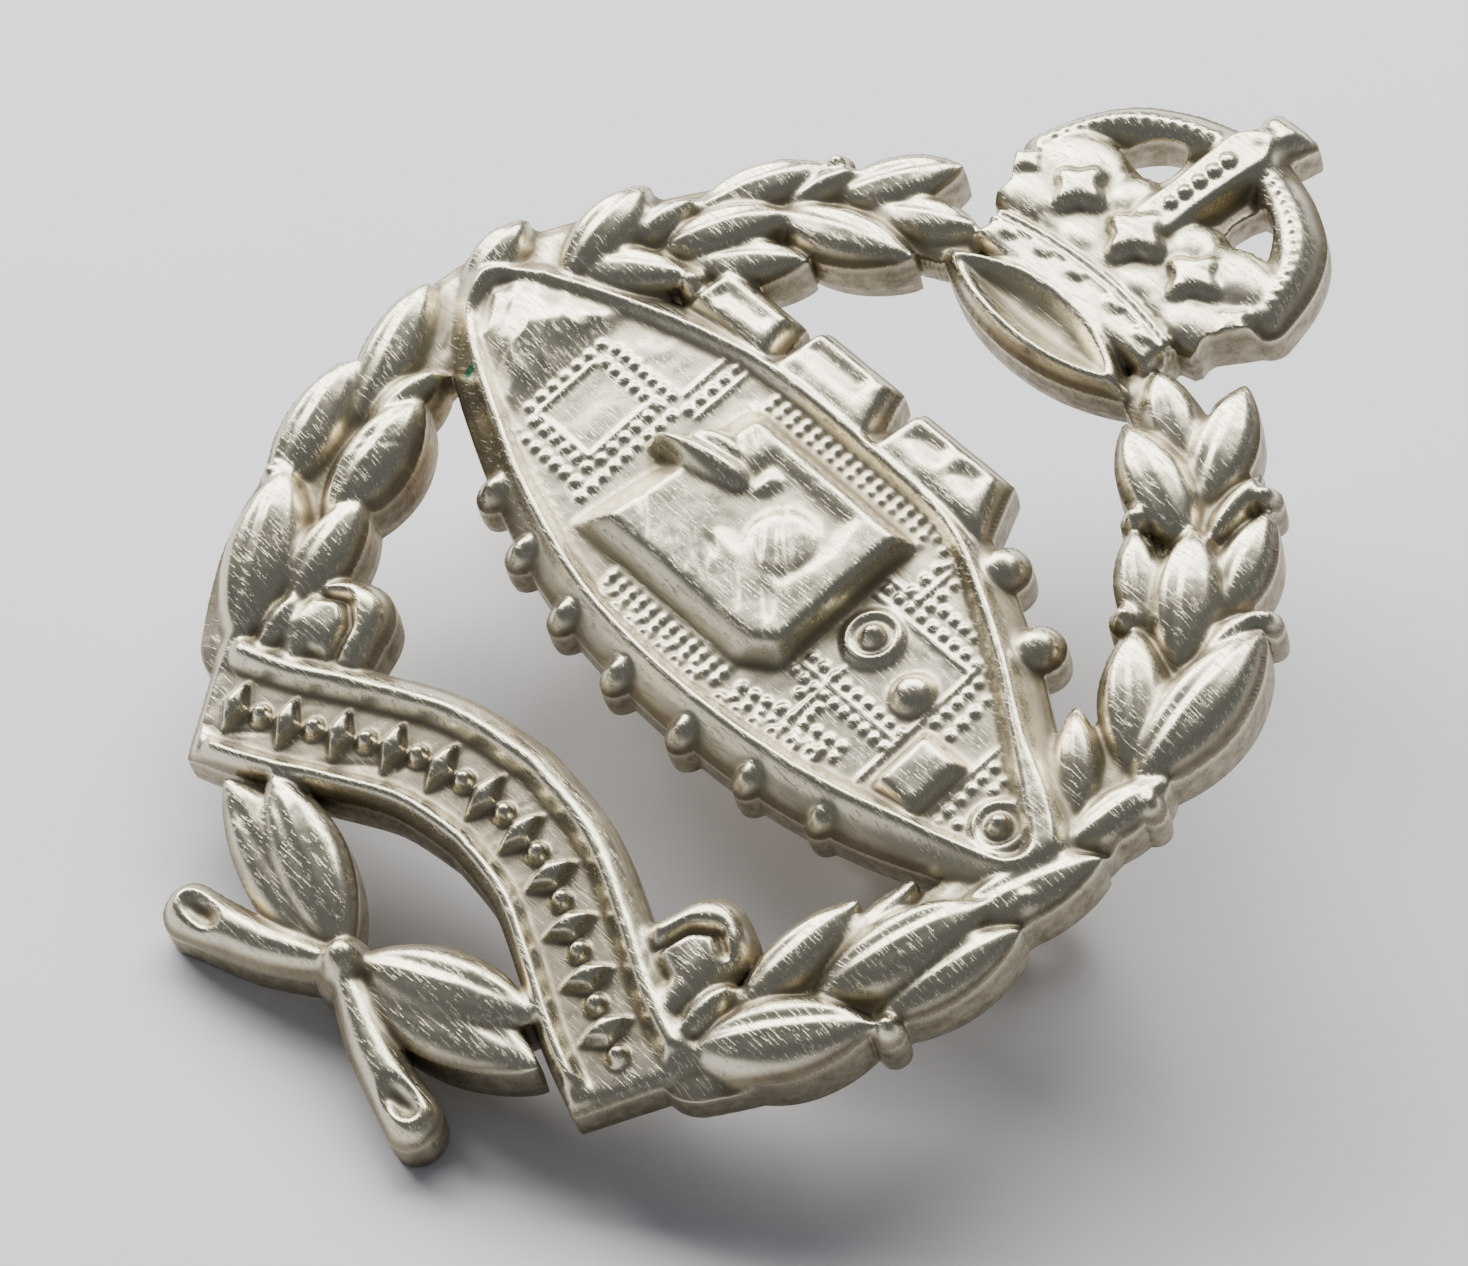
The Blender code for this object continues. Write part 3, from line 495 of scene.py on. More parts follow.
def sponson_shapes():
    """The raised box on the hull, the mantlet bar and ball boss in its sunken panel, and the gun."""
    top = SPONSON_TOP
    box = Block(SPONSON, SPONSON_RUNS, FIELD, top)
    panel = Pad(PANEL, [(0, top), (0.45, top - 0.2)])
    boss = Disc(BOSS, [(0, top + 0.1), (0.85, top + 0.06), (1.1, top - 0.04), (1.3, top - 0.2)])
    bar = Pad([(-1.5, 0.2), (-0.8, 0.7), (-0.7, 1.5), (-1.6, 1.55)], [(0, top - 0.2), (0.3, top)])
    gun = Leaf((-1.6, 0.55), (-5.3, -0.15), 1.0, top + 0.55, edge=top - 0.2, belly=0.35, lift=0, veins=0)
    shield = Leaf((-2.3, 1.1), (-4.4, 0.6), 1.1, top + 0.35, edge=top - 0.2, lift=0, veins=0)
    return box, panel, (boss, bar, gun, shield)


def draw_hull_fittings(canvas):
    canvas.stand(Pad(WORN_END, [(0, FIELD), (0.9, 1.8), (1.8, 2.0)]))
    box, panel, on_top = sponson_shapes()
    canvas.stand(box)
    canvas.sink(panel)
    canvas.stand(*on_top)
    for centre, radius in (((4.85, -0.35), 1.0), ((12.4, -2.25), 0.95)):
        canvas.stand(Disc(centre, [(0, 2.2), (radius * 0.3, 2.05), (radius * 0.45, FIELD + 0.05),
                                   (radius * 0.6, FIELD + 0.05), (radius * 0.8, 1.95), (radius, FIELD)]))
    canvas.stand(dome((7.2, -0.9), 0.72, 2.1, FIELD))
    canvas.stand(Pad(rectangle(8.4, -3.85, 10.35, -1.45), [(0, FIELD), (0.25, 2.0), (0.4, 2.05)]))


def draw_rivets(canvas):
    """Seams, rivets and curls on the field, which stay crisper than the broad forms."""
    for x0, y0, x1, y1 in RIDGES:
        profile = [(0, FIELD + RIDGE_RISE), (1, FIELD)]
        canvas.stand(Band([(x0, y0), (x1, y1)], [RIDGE_HALF, RIDGE_HALF], profile))
    rivet = [(0, FIELD + RIVET_RISE), (0.08, FIELD + RIVET_RISE - 0.02), (RIVET_R, FIELD)]
    for x0, y0, x1, y1 in RIVET_ROWS:
        for point in evenly([(x0, y0), (x1, y1)], RIVET_PITCH)[0]:
            canvas.stand(Disc(tuple(point), rivet))
    curl = [(0, FIELD + 0.12), (0.08, FIELD + 0.05), (0.2, FIELD + 0.22), (0.34, FIELD)]
    for centre in CURLS:
        canvas.stand(Disc(centre, curl))


# ---------------------------------------------------------------- the scroll

SCROLL_HALF = 2.15
SCROLL_LINE = [(0, -11.4), (2.8, -11.8), (5.4, -12.9), (7.9, -14.1), (10.3, -14.9), (12.5, -15.5)]
SCROLL_CUT = ((11.5, -12.9), (9.2, -16.6))
CURL = [(6.7, -11.7), (6.8, -10.4), (7.2, -9.5), (7.9, -9.05), (8.7, -9.1), (9.6, -9.6), (9.9, -10.5),
        (9.6, -12.4)]
CURL_FOLD = [(7.5, -11.7), (7.9, -10.6), (8.6, -10.1), (9.3, -10.5)]


class Ribbon:
    """The scroll's band, cut off straight at both ends; the profile runs from its lower to its upper edge."""

    PROFILE = [(-2.15, EDGE), (-2.05, 1.6), (-1.85, 2.0), (-1.65, 2.02), (-1.4, 1.6), (-1.3, 1.4),
               (0.9, 1.4), (1.0, 1.62), (1.2, 2.0), (1.4, 2.02), (1.6, 1.85), (2.0, 1.4), (2.15, EDGE)]

    def __init__(self, line):
        self.line = line

    def box(self):
        return (-12.5, -17.5, 12.5, -8.8)

    def at(self, x, y):
        near, offset = np.full(x.shape, np.inf), np.zeros(x.shape)
        for start, end in zip(self.line[:-1], self.line[1:]):
            _, gap = to_segment(x, y, start, end)
            dx, dy = end - start
            side = np.sign(dx * (y - start[1]) - dy * (x - start[0]))
            offset = np.where(gap < near, gap * side, offset)
            near = np.minimum(near, gap)
        (cx, cy), (ex, ey) = SCROLL_CUT
        to_end = ((ey - cy) * (np.abs(x) - cx) - (ex - cx) * (y - cy)) / math.hypot(ex - cx, ey - cy)
        to_end = np.where(np.abs(x) > 5, to_end, 9)
        cover = np.minimum(SCROLL_HALF - near, to_end)
        steps, heights = zip(*self.PROFILE)
        fold = np.interp(to_end, [0, 0.25, 0.75, 0.9], [EDGE, 1.5, 1.65, 9])
        return cover, np.minimum(np.interp(offset, steps, heights), fold)


def scroll_centre_line(steps):
    right = spline(SCROLL_LINE, steps)
    return np.vstack([right[:0:-1] * (-1, 1), right])


def lozenge(centre, heading, length, width):
    side = np.array([-heading[1], heading[0]])
    return [tuple(centre + side * length), tuple(centre + heading * width),
            tuple(centre - side * length), tuple(centre - heading * width)]


def draw_scroll(canvas):
    roll = [(0, EDGE), (0.15, 1.5), (0.5, 2.0), (0.9, 2.15)]
    canvas.lift(*both_sides(lambda outline: Pad(outline, roll), spline(CURL, 4, closed=True)))
    canvas.sink(*both_sides(lambda line: Band(line, [0.2, 0.2], [(0, 1.3), (1, 2.1)]), CURL_FOLD))
    canvas.lift(Ribbon(scroll_centre_line(6)))


def draw_scroll_ornament(canvas):
    """Row of lozenges and pellets along the scroll."""
    marks = [(p, h) for p, h in zip(*evenly(scroll_centre_line(12), 0.92)) if abs(p[0]) < 9.3]
    for index, (point, heading) in enumerate(marks):
        side = np.array([-heading[1], heading[0]])
        middle = point - side * 0.2
        if index % 2:
            canvas.stand(dome(tuple(middle), 0.36, 1.9, 1.35))
        else:
            canvas.stand(Pad(lozenge(middle, heading, 0.95, 0.5), [(0, 1.4), (0.15, 1.85), (0.4, 1.98)]))


# ---------------------------------------------------------------- the knot

STEM = [(0.4, -18.4), (2.6, -19.3), (5.25, -20.0)]


def draw_knot(canvas):
    canvas.lift(*both_sides(lambda base, tip: Leaf(base, tip, 2.4, 1.9), (0.3, -18.2), (7.3, -16.5)))
    canvas.lift(*both_sides(lambda base, tip: Leaf(base, tip, 2.5, 2.2), (0.1, -17.8), (6.2, -15.5)))
    round_top = [(0, 1.9), (0.5, 1.75), (0.8, 1.4), (1, EDGE)]
    canvas.lift(*both_sides(lambda line: Band(spline(line, 5), [0.5, 0.75, 0.9], round_top), STEM))
    hollow = [(0, 1.25), (0.4, 1.4), (0.75, 1.75), (0.95, 2.1)]
    canvas.sink(*both_sides(lambda centre: Disc(centre, hollow, squash=(1.15, 0.6)), (4.75, -19.9)))
    canvas.lift(dome((0, -18.15), 0.95, 1.7))
    canvas.lift(dome((0.05, -18.1), 0.68, 2.35, 1.5))


# ---------------------------------------------------------------- the crown

CROWN_CAP = [(3.7, 12.9), (4.4, 13.9), (5.2, 15.0), (5.55, 15.7), (4.6, 16.7), (3.2, 17.1), (1.8, 16.9),
             (0.9, 16.5)]
# puffs of the cap on its right: centre, radius, top, squash
PUFFS = [((3.3, 16.0), 1.6, 2.05, (1.0, 0.75)), ((1.4, 15.9), 1.1, 1.95, (0.8, 1.0)),
         ((3.6, 14.0), 1.4, 1.95, (1.0, 0.7)), ((1.3, 13.9), 1.1, 1.9, (1.0, 0.7))]
CIRCLET = [(4.0, 11.6), (3.85, 12.9), (2.0, 13.35)]
CROWN_ARCH = [(4.9, 15.7), (4.35, 17.2), (3.45, 18.35), (2.1, 19.2), (0.6, 19.7)]
CROSS_BLOCK = [(1.15, 19.5), (0.95, 20.2), (0.9, 20.8), (0.98, 21.3), (0.85, CROWN_TOP_Y)]
CROWN_WEB = [(0.3, 16.5), (4.3, 16.3), (4.3, 17.3), (3.4, 18.4), (2.1, 19.2), (0.3, 19.5)]
CROWN_VOID = [(1.5, 17.2), (3.15, 17.15), (3.1, 17.6), (2.45, 18.4), (1.6, 18.65)]
JEWELS = [(-3.0, 12.45), (-1.7, 12.7), (-0.3, 12.75), (1.5, 12.72), (3.0, 12.5)]


def worn_boss(canvas, centre, radius, top):
    """Cross-shaped boss whose top is rubbed flat."""
    profile = [(0, top), (radius * 0.62, top - 0.03), (radius * 0.8, top - 0.2), (radius, 1.75)]
    canvas.stand(Disc(centre, profile, lobes=4, lobe_depth=0.22))


def draw_crown(canvas):
    canvas.lift(*both_sides(lambda outline: Pad(outline, [(0, EDGE), (0.3, 1.1)]), CROWN_WEB))
    cap = spline(closed_by_mirror(CROWN_CAP), 4, closed=True)
    canvas.lift(Pad(cap, [(0, EDGE), (0.15, 1.4), (0.7, 1.8)]))
    for centre, radius, top, squash in PUFFS:
        canvas.stand(*both_sides(lambda place: dome(tuple(place), radius, top, 1.5, squash), centre))
    canvas.lift(Pad(closed_by_mirror(CIRCLET), [(0, EDGE), (0.2, 1.8), (0.4, 1.85)]))
    band = [(0, EDGE), (0.12, 1.5), (0.35, 2.0), (0.55, 2.1), (0.8, 1.9)]
    canvas.lift(Pad(lens(4.25, 10.75, 9.5, 12.25), band))
    canvas.sink(Pad(lens(3.5, 10.75, 10.0, 11.8), [(0, 2.1), (0.12, 1.75), (0.5, 1.35), (0.9, 1.2)]))
    arch = spline(CROWN_ARCH, 6)
    profile = [(0, 1.85), (0.3, 1.8), (0.65, 1.45), (1, EDGE)]
    canvas.lift(*both_sides(lambda line: Band(line, [0.72, 0.95, 0.9], profile), arch))
    canvas.lift(Band([(0, 15.8), (0, 18.0), (0, 19.7)], [0.85, 0.92, 1.0],
                     [(0, 2.1), (0.6, 2.12), (0.72, 2.2), (0.85, 2.0), (1, EDGE)]))
    cross = spline(closed_by_mirror(CROSS_BLOCK), 3, closed=True)
    canvas.lift(Pad(cross, [(0, EDGE), (0.15, 1.5), (0.5, 1.95)]))
    canvas.lift(dome((0, 20.3), 0.75, 2.2, 1.5))
    worn_boss(canvas, (0.1, 15.0), 1.05, 2.35)
    for side in (-1, 1):
        worn_boss(canvas, (2.55 * side, 15.1), 0.95, 2.3)
        worn_boss(canvas, (4.6 * side, 14.75), 0.62, 2.05)
    void = spline(CROWN_VOID, 3, closed=True)
    canvas.pierce(*both_sides(lambda outline: Pad(outline, [(0, 0), (1, 0)]), void))


def draw_crown_beads(canvas):
    """Beads, jewels and fillets of the crown."""
    for point in evenly([(-2.6, 10.42), (2.6, 10.42)], 0.2)[0]:
        canvas.stand(dome(tuple(point), 0.09, 1.5, 1.3))
    for height in (13.0, 13.3):
        arc = [(u * 3.7, height - 0.45 * u * u) for u in np.linspace(-1, 1, 9)]
        canvas.stand(Band(arc, [0.1, 0.1], [(0, 2.0), (1, 1.8)]))
    for centre in JEWELS:
        canvas.stand(dome(centre, 0.38, 1.98, 1.8, squash=(1.25, 0.65)))
    arch = spline(CROWN_ARCH, 6)
    for side in (-1, 1):
        for point in evenly(arch[2:] * (side, 1), 0.42)[0]:
            canvas.stand(dome(tuple(point), 0.15, 1.94, 1.7))
    for y, radius in ((18.95, 0.33), (18.35, 0.3), (17.75, 0.29), (17.15, 0.28), (16.55, 0.26)):
        canvas.stand(dome((0.0, y), radius, 2.33, 2.05))


# ---------------------------------------------------------------- wear

# scratched patches: left, low, right, high, direction in degrees, depth
SCRATCHED = [
    (-4.4, -2.95, 2.7, -1.3, -38, 0.1), (-4.3, 1.2, -2.2, 2.4, -35, 0.08),
    (-0.4, -1.3, 1.9, 0.9, -40, 0.1), (0.6, 0.9, 2.7, 2.3, -35, 0.04), (8.6, -3.7, 10.2, -1.6, -40, 0.05),
    (-14.0, -2.4, -9.9, 2.6, -62, 0.07), (-9.8, -16.0, -3.0, -11.6, 35, 0.05),
    (-1.0, -13.3, 5.0, -10.6, 70, 0.035), (-0.8, -18.7, 0.8, -17.4, 60, 0.05),
    (-1.0, 14.2, 1.2, 15.9, 10, 0.03), (-3.4, 14.3, -1.7, 16.0, -20, 0.03),
    (1.7, 14.3, 3.5, 16.0, 15, 0.03), (-12.8, -8.5, -10.2, -4.0, 50, 0.03),
    (9.0, -13.9, 11.8, -12.8, -25, 0.04),
]


VERDIGRIS = (-11.75, -2.25)         # a green spot at the hull's edge


def fade_in(x, y, box, border):
    """0 outside a box, 1 inside it, with a smooth border."""
    left, low, right, high = box
    depth = np.minimum(np.minimum(x - left, right - x), np.minimum(y - low, high - y))
    return smooth_step(depth, 0, border)


def streaks(x, y, direction, seed):
    """Short grooves along a direction, as a file or coarse polish leaves."""
    turn = math.radians(direction)
    along = x * math.cos(turn) + y * math.sin(turn)
    across = y * math.cos(turn) - x * math.sin(turn)
    lines = value_noise(along * 0.5 + 7, across * 3.4, seed)
    lines = lines + 0.5 * value_noise(along * 0.9, across * 6, seed + 1)
    return -np.clip(lines - 0.25, 0, 1)


def draw_wear(canvas):
    """Scratches on what stands proud, the rumpled left end, and a slight unevenness everywhere."""
    for index, (*box, direction, depth) in enumerate(SCRATCHED):
        def scratched(x, y):
            return depth * fade_in(x, y, box, 0.4) * streaks(x, y, direction, index * 3 + 11)
        canvas.add(box, scratched)

    def rumpled(x, y):
        folds = np.abs(value_noise(x * 0.9 + 0.5 * y, y * 1.3, 5)) ** 0.7
        return 0.11 * fade_in(x, y, WORN_END_BOX, 0.8) * (0.5 - folds)
    canvas.add(WORN_END_BOX, rumpled)
    everywhere = (-HALF_WIDTH, LOW_Y, HALF_WIDTH, HIGH_Y)

    def uneven(x, y):
        return 0.02 * value_noise(x * 1.1, y * 1.1, 1) + 0.006 * value_noise(x * 3, y * 3, 2)
    canvas.add(everywhere, uneven)


# ---------------------------------------------------------------- from canvas to mesh

def tilted(y, z):
    """Where a point of the flat drawing comes to lie, as (y, z), once the badge is bowed and tilted."""
    turn = math.radians(TILT)
    bowed_z = z - BOW * y * y
    return y * math.cos(turn) - bowed_z * math.sin(turn), y * math.sin(turn) + bowed_z * math.cos(turn)


def standing_offset():
    """Shift, as (y, z), that puts the middle of the badge's length over the origin and its foot on z = 0."""
    crown_end, _ = tilted(CROWN_TOP_Y, 0)
    stem_end, _ = tilted(STEM_END_Y, EDGE)
    _, foot = tilted(STEM_END_Y, 0)
    return -(crown_end + stem_end) / 2, -foot


def placed(points, bow=True):
    """Points of the flat drawing, in millimetres, as places in the frame, in metres."""
    points = np.array(points, float)
    turn = math.radians(TILT)
    y, z = points[..., 1], points[..., 2] - (BOW * points[..., 1] ** 2 if bow else 0)
    offset_y, offset_z = standing_offset()
    moved = np.stack([points[..., 0], y * math.cos(turn) - z * math.sin(turn) + offset_y,
                      y * math.sin(turn) + z * math.cos(turn) + offset_z], -1)
    return moved * MM


def cut_grid(canvas):
    """Grid corners and cells inside the outline, with the corners on its edge moved onto the outline."""
    x, y, cover = canvas.x.copy(), canvas.y.copy(), canvas.cover
    near = cover > -0.5 * CELL
    cells = near[:-1, :-1] & near[1:, :-1] & near[:-1, 1:] & near[1:, 1:]
    used = np.zeros(x.shape, int)
    for rows in (slice(None, -1), slice(1, None)):
        for columns in (slice(None, -1), slice(1, None)):
            used[rows, columns] += cells
    border = (used > 0) & (used < 4)
    slope_y, slope_x = np.gradient(cover, CELL)
    size = np.maximum(slope_x ** 2 + slope_y ** 2, 0.25)
    shift = np.clip(cover, -CELL, CELL) / size
    x = np.where(border, x - shift * slope_x, x)
    y = np.where(border, y - shift * slope_y, y)
    outward = np.stack([-slope_x, -slope_y], -1) / np.sqrt(size)[..., None]
    return x, y, cells, used > 0, outward


def grid_quads(cells, index):
    rows, columns = np.nonzero(cells)
    return np.stack([index[rows, columns], index[rows, columns + 1],
                     index[rows + 1, columns + 1], index[rows + 1, columns]], 1)


def border_sides(quads):
    """Sides that belong to only one quad, in that quad's direction."""
    sides = np.vstack([quads[:, [k, (k + 1) % 4]] for k in range(4)]).astype(np.int64)
    key = sides[:, 0] * 10 ** 8 + sides[:, 1]
    back = sides[:, 1] * 10 ** 8 + sides[:, 0]
    return sides[~np.isin(key, back)]


def mesh_from(name, points, quads, attributes):
    mesh = bpy.data.meshes.new(name)
    mesh.vertices.add(len(points))
    mesh.vertices.foreach_set("co", np.asarray(points, np.float32).ravel())
    mesh.loops.add(quads.size)
    mesh.loops.foreach_set("vertex_index", quads.astype(np.int32).ravel())
    mesh.polygons.add(len(quads))
    mesh.polygons.foreach_set("loop_start", np.arange(0, quads.size, 4, dtype=np.int32))
    mesh.polygons.foreach_set("loop_total", np.full(len(quads), 4, np.int32))
    for label, values in attributes.items():
        layer = mesh.attributes.new(label, "FLOAT", "POINT")
        layer.data.foreach_set("value", np.asarray(values, np.float32))
    mesh.update(calc_edges=True)
    mesh.validate()
    mesh.shade_smooth()
    return mesh


def hollow_depth(canvas):
    """Height of the back: the relief blurred by the punch and one sheet lower, flat along the edge."""
    soft = blurred(canvas.height, canvas.height > 0, 0.3)
    depth = np.clip(np.minimum(soft - SHEET, canvas.height - 0.45), 0, None)
    return depth * smooth_step(canvas.cover, 0.25, 0.9)


# rings of the cut edge below the front's rim: how far out, share of the height lost
WALL_RINGS = [(0.0, 0.1), (0.02, 0.25), (0.02, 0.7), (-0.01, 1.0)]


def closed_sheet(canvas, recess):
    """Front, cut edge and hollow back as one closed skin: points, quads, and two values for each point."""
    x, y, cells, used, outward = cut_grid(canvas)
    index = np.full(x.shape, -1)
    index[used] = np.arange(used.sum())
    front = grid_quads(cells, index)
    top = np.stack([x[used], y[used], np.maximum(canvas.height[used], EDGE * 0.9)], 1)
    sides = border_sides(front)
    rim = np.unique(sides)
    slot = np.full(len(top), -1)
    slot[rim] = np.arange(len(rim))
    a, b = slot[sides[:, 0]], slot[sides[:, 1]]
    points, quads, last = [top], [front], rim
    hollow, edge = [recess[used]], [np.zeros(len(top))]
    count = len(top)
    for spread, drop in WALL_RINGS:
        ring = top[rim].copy()
        ring[:, :2] += outward[used][rim] * spread
        ring[:, 2] *= 1 - drop
        here = np.arange(count, count + len(rim))
        quads.append(np.stack([last[a], here[a], here[b], last[b]], 1))
        points.append(ring)
        hollow.append(np.full(len(rim), 0.5))
        edge.append(np.full(len(rim), min(1.0, drop * 4)))
        last = here
        count += len(rim)
    inner = slot < 0
    below = np.empty(len(top), int)
    below[rim] = last
    below[inner] = np.arange(count, count + inner.sum())
    back = np.stack([top[inner, 0], top[inner, 1], hollow_depth(canvas)[used][inner]], 1)
    quads.append(below[front][:, ::-1])
    points.append(back)
    hollow.append(np.full(len(back), 0.72))
    edge.append(np.full(len(back), 0.5))
    return np.vstack(points), np.vstack(quads), np.concatenate(hollow), np.concatenate(edge)


def relief_canvas():
    canvas = Canvas()
    draw_wreath(canvas)
    draw_knot(canvas)
    draw_scroll(canvas)
    draw_crown(canvas)
    draw_hull(canvas)
    draw_hull_fittings(canvas)
    canvas.soften(SOFTENING)
    draw_rivets(canvas)
    draw_scroll_ornament(canvas)
    draw_crown_beads(canvas)
    canvas.soften(FINE_SOFTENING)
    draw_wear(canvas)
    return canvas


def struck_face():
    canvas = relief_canvas()
    # recess: how far each point lies below its surroundings; the material paints tarnish and shade there by
    # it
    around = blurred(canvas.height, canvas.height > 0, 0.35)
    recess = np.clip((around - canvas.height) / 0.35 + 0.5, 0, 1)
    points, quads, hollow, edge = closed_sheet(canvas, recess)
    away = (points[:, :2] - VERDIGRIS) / (0.22, 0.32)
    spot = np.exp(-(away ** 2).sum(axis=1))
    values = {"recess": hollow, "edge": edge, "verdigris": spot}
    mesh = mesh_from("struck_face_relief", placed(points), quads, values)
    return bpy.data.objects.new("struck_face_relief", mesh)


# ---------------------------------------------------------------- wire parts

def sweep(name, path, section_at):
    """Closed smooth skin through the sections that section_at(index, point) gives along the path."""
    mesh = bmesh.new()
    loops = []
    for index, point in enumerate(path):
        places = placed([tuple(corner) for corner in section_at(index, point)], bow=False)
        loops.append([mesh.verts.new(place) for place in places])
    for here, there in zip(loops, loops[1:]):
        for k in range(len(here)):
            n = (k + 1) % len(here)
            mesh.faces.new((here[k], here[n], there[n], there[k]))
    mesh.faces.new(list(reversed(loops[0])))
    mesh.faces.new(loops[-1])
    bmesh.ops.recalc_face_normals(mesh, faces=mesh.faces)
    data = bpy.data.meshes.new(name)
    mesh.to_mesh(data)
    mesh.free()
    data.shade_smooth()
    data.set_sharp_from_angle(angle=math.radians(40))
    return bpy.data.objects.new(name, data)


def side_directions(path, flat_normal):
    """Side direction at each point of a path that stays in one plane."""
    frames = []
    for index in range(len(path)):
        ahead = path[min(index + 1, len(path) - 1)] - path[max(index - 1, 0)]
        frames.append(ahead.normalized().cross(flat_normal).normalized())
    return frames


def bend_centre_z():
    """Height of the lugs' bend centres that lets the lugs touch the table with the stem ends."""
    reach = standing_offset()[1] - (LUG_BEND_R + LUG_WIRE_R)
    return -(reach + math.sin(math.radians(TILT)) * LUG_Y) / math.cos(math.radians(TILT))


def lug(name, x, sides=28, bend_steps=32):
    """U of round wire whose feet spread into the brazing on the back of the sheet."""
    foot_z = FIELD - SHEET - BOW * (abs(LUG_Y) + LUG_BEND_R) ** 2 - 0.08
    low = bend_centre_z()
    drops = [0, 0.12, 0.3, 0.55, 0.85, 1.3]
    leg = Vector((x, LUG_Y, foot_z))
    path = [leg + Vector((0, LUG_BEND_R, -drop)) for drop in drops]
    for k in range(bend_steps + 1):
        turn = math.pi * k / bend_steps
        path.append(Vector((x, LUG_Y + LUG_BEND_R * math.cos(turn), low - LUG_BEND_R * math.sin(turn))))
    path += [leg + Vector((0, -LUG_BEND_R, -drop)) for drop in reversed(drops)]
    flares = [1.7, 1.62, 1.42, 1.2, 1.06, 1.0]
    flare = flares + [1.0] * (bend_steps + 1) + flares[::-1]
    frames = side_directions(path, Vector((1, 0, 0)))

    def section(index, point):
        radius = LUG_WIRE_R * flare[index]
        turns = [2 * math.pi * k / sides for k in range(sides)]
        across = Vector((1, 0, 0))
        return [point + radius * (math.cos(t) * frames[index] + math.sin(t) * across) for t in turns]
    return sweep(name, path, section)


def split_pin(name, eye_steps=40, arc_steps=12):
    """Half-round wire folded into two legs along x, with an eye at the right-hand end."""
    leg_y = PIN_SLIT / 2
    flat = PIN_R - leg_y
    eye_x = PIN_RIGHT + PIN_EYE_R + 0.3
    slack = LUG_BEND_R - LUG_WIRE_R - PIN_R - PIN_CLEARANCE
    turn = math.radians(TILT)
    centre = Vector((0, LUG_Y - slack * math.sin(turn), bend_centre_z() - slack * math.cos(turn)))
    path = [Vector((PIN_LEFT + 0.12 * k, leg_y, 0)) for k in range(4)] + [Vector((PIN_RIGHT, leg_y, 0))]
    for k in range(eye_steps + 1):
        turn = math.pi * (0.86 - 1.72 * k / eye_steps)
        path.append(Vector((eye_x + PIN_EYE_R * math.cos(turn), PIN_EYE_R * math.sin(turn), 0)))
    path.append(Vector((PIN_RIGHT, -leg_y, 0)))
    path += [Vector((PIN_LEFT + 0.8 + 0.12 * k, -leg_y, 0)) for k in (3, 2, 1, 0)]
    taper = [0.55, 0.8, 0.93, 1.0]
    scale = taper + [1.0] * (len(path) - 8) + taper[::-1]
    frames = side_directions(path, Vector((0, 0, 1)))

    def section(index, point):
        out, up = -frames[index], Vector((0, 0, 1))
        turns = [math.pi * k / arc_steps for k in range(arc_steps + 1)]
        reach = flat * scale[index]
        return [centre + point + reach * (math.sin(t) * out + math.cos(t) * up) for t in turns]
    return sweep(name, path, section)


# ---------------------------------------------------------------- materials

class Nodes:
    """Short helpers to build a material's node tree."""

    def __init__(self, name):
        self.material = bpy.data.materials.new(name)
        self.material.use_nodes = True
        self.tree = self.material.node_tree
        self.shader = self.tree.nodes["Principled BSDF"]
        self.shader.inputs["Metallic"].default_value = 1.0

    def node(self, kind, **settings):
        made = self.tree.nodes.new(kind)
        for key, value in settings.items():
            setattr(made, key, value)
        return made

    def link(self, source, target):
        self.tree.links.new(source, target)

    def coordinates(self, scale, turn=(0, 0, 0)):
        """Object coordinates in millimetres, scaled and turned."""
        where = self.node("ShaderNodeTexCoord")
        mapping = self.node("ShaderNodeMapping")
        mapping.inputs["Scale"].default_value = [1000 * s for s in scale]
        mapping.inputs["Rotation"].default_value = turn
        self.link(where.outputs["Object"], mapping.inputs["Vector"])
        return mapping.outputs["Vector"]

    def noise(self, scale, detail=4, roughness=0.6, stretch=(1, 1, 1), turn=(0, 0, 0)):
        noise = self.node("ShaderNodeTexNoise")
        noise.inputs["Scale"].default_value = scale
        noise.inputs["Detail"].default_value = detail
        noise.inputs["Roughness"].default_value = roughness
        self.link(self.coordinates(stretch, turn), noise.inputs["Vector"])
        return noise.outputs["Fac"]

    def ramp(self, value, *stops):
        """Grey ramp through (position, value) stops."""
        ramp = self.node("ShaderNodeValToRGB")
        elements = ramp.color_ramp.elements
        while len(elements) < len(stops):
            elements.new(0.5)
        for element, (position, grey) in zip(elements, stops):
            element.position = position
            element.color = (grey, grey, grey, 1)
        self.link(value, ramp.inputs["Fac"])
        return ramp.outputs["Color"]

    def math(self, operation, a, b):
        made = self.node("ShaderNodeMath", operation=operation)
        for socket, value in zip(made.inputs, (a, b)):
            if isinstance(value, (int, float)):
                socket.default_value = value
            else:
                self.link(value, socket)
        return made.outputs["Value"]

    def mix(self, factor, a, b):
        made = self.node("ShaderNodeMix", data_type="RGBA")
        for label, value in (("Factor", factor), ("A", a), ("B", b)):
            socket = [s for s in made.inputs if s.name == label and s.enabled][0]
            if isinstance(value, tuple):
                socket.default_value = (*value, 1)
            else:
                self.link(value, socket)
        return [s for s in made.outputs if s.enabled][0]

    def attribute(self, name):
        return self.node("ShaderNodeAttribute", attribute_name=name).outputs["Fac"]

    def bump(self, height, strength, distance_mm, normal=None):
        bump = self.node("ShaderNodeBump")
        bump.inputs["Strength"].default_value = strength
        bump.inputs["Distance"].default_value = distance_mm * MM
        self.link(height, bump.inputs["Height"])
        if normal:
            self.link(normal, bump.inputs["Normal"])
        return bump.outputs["Normal"]


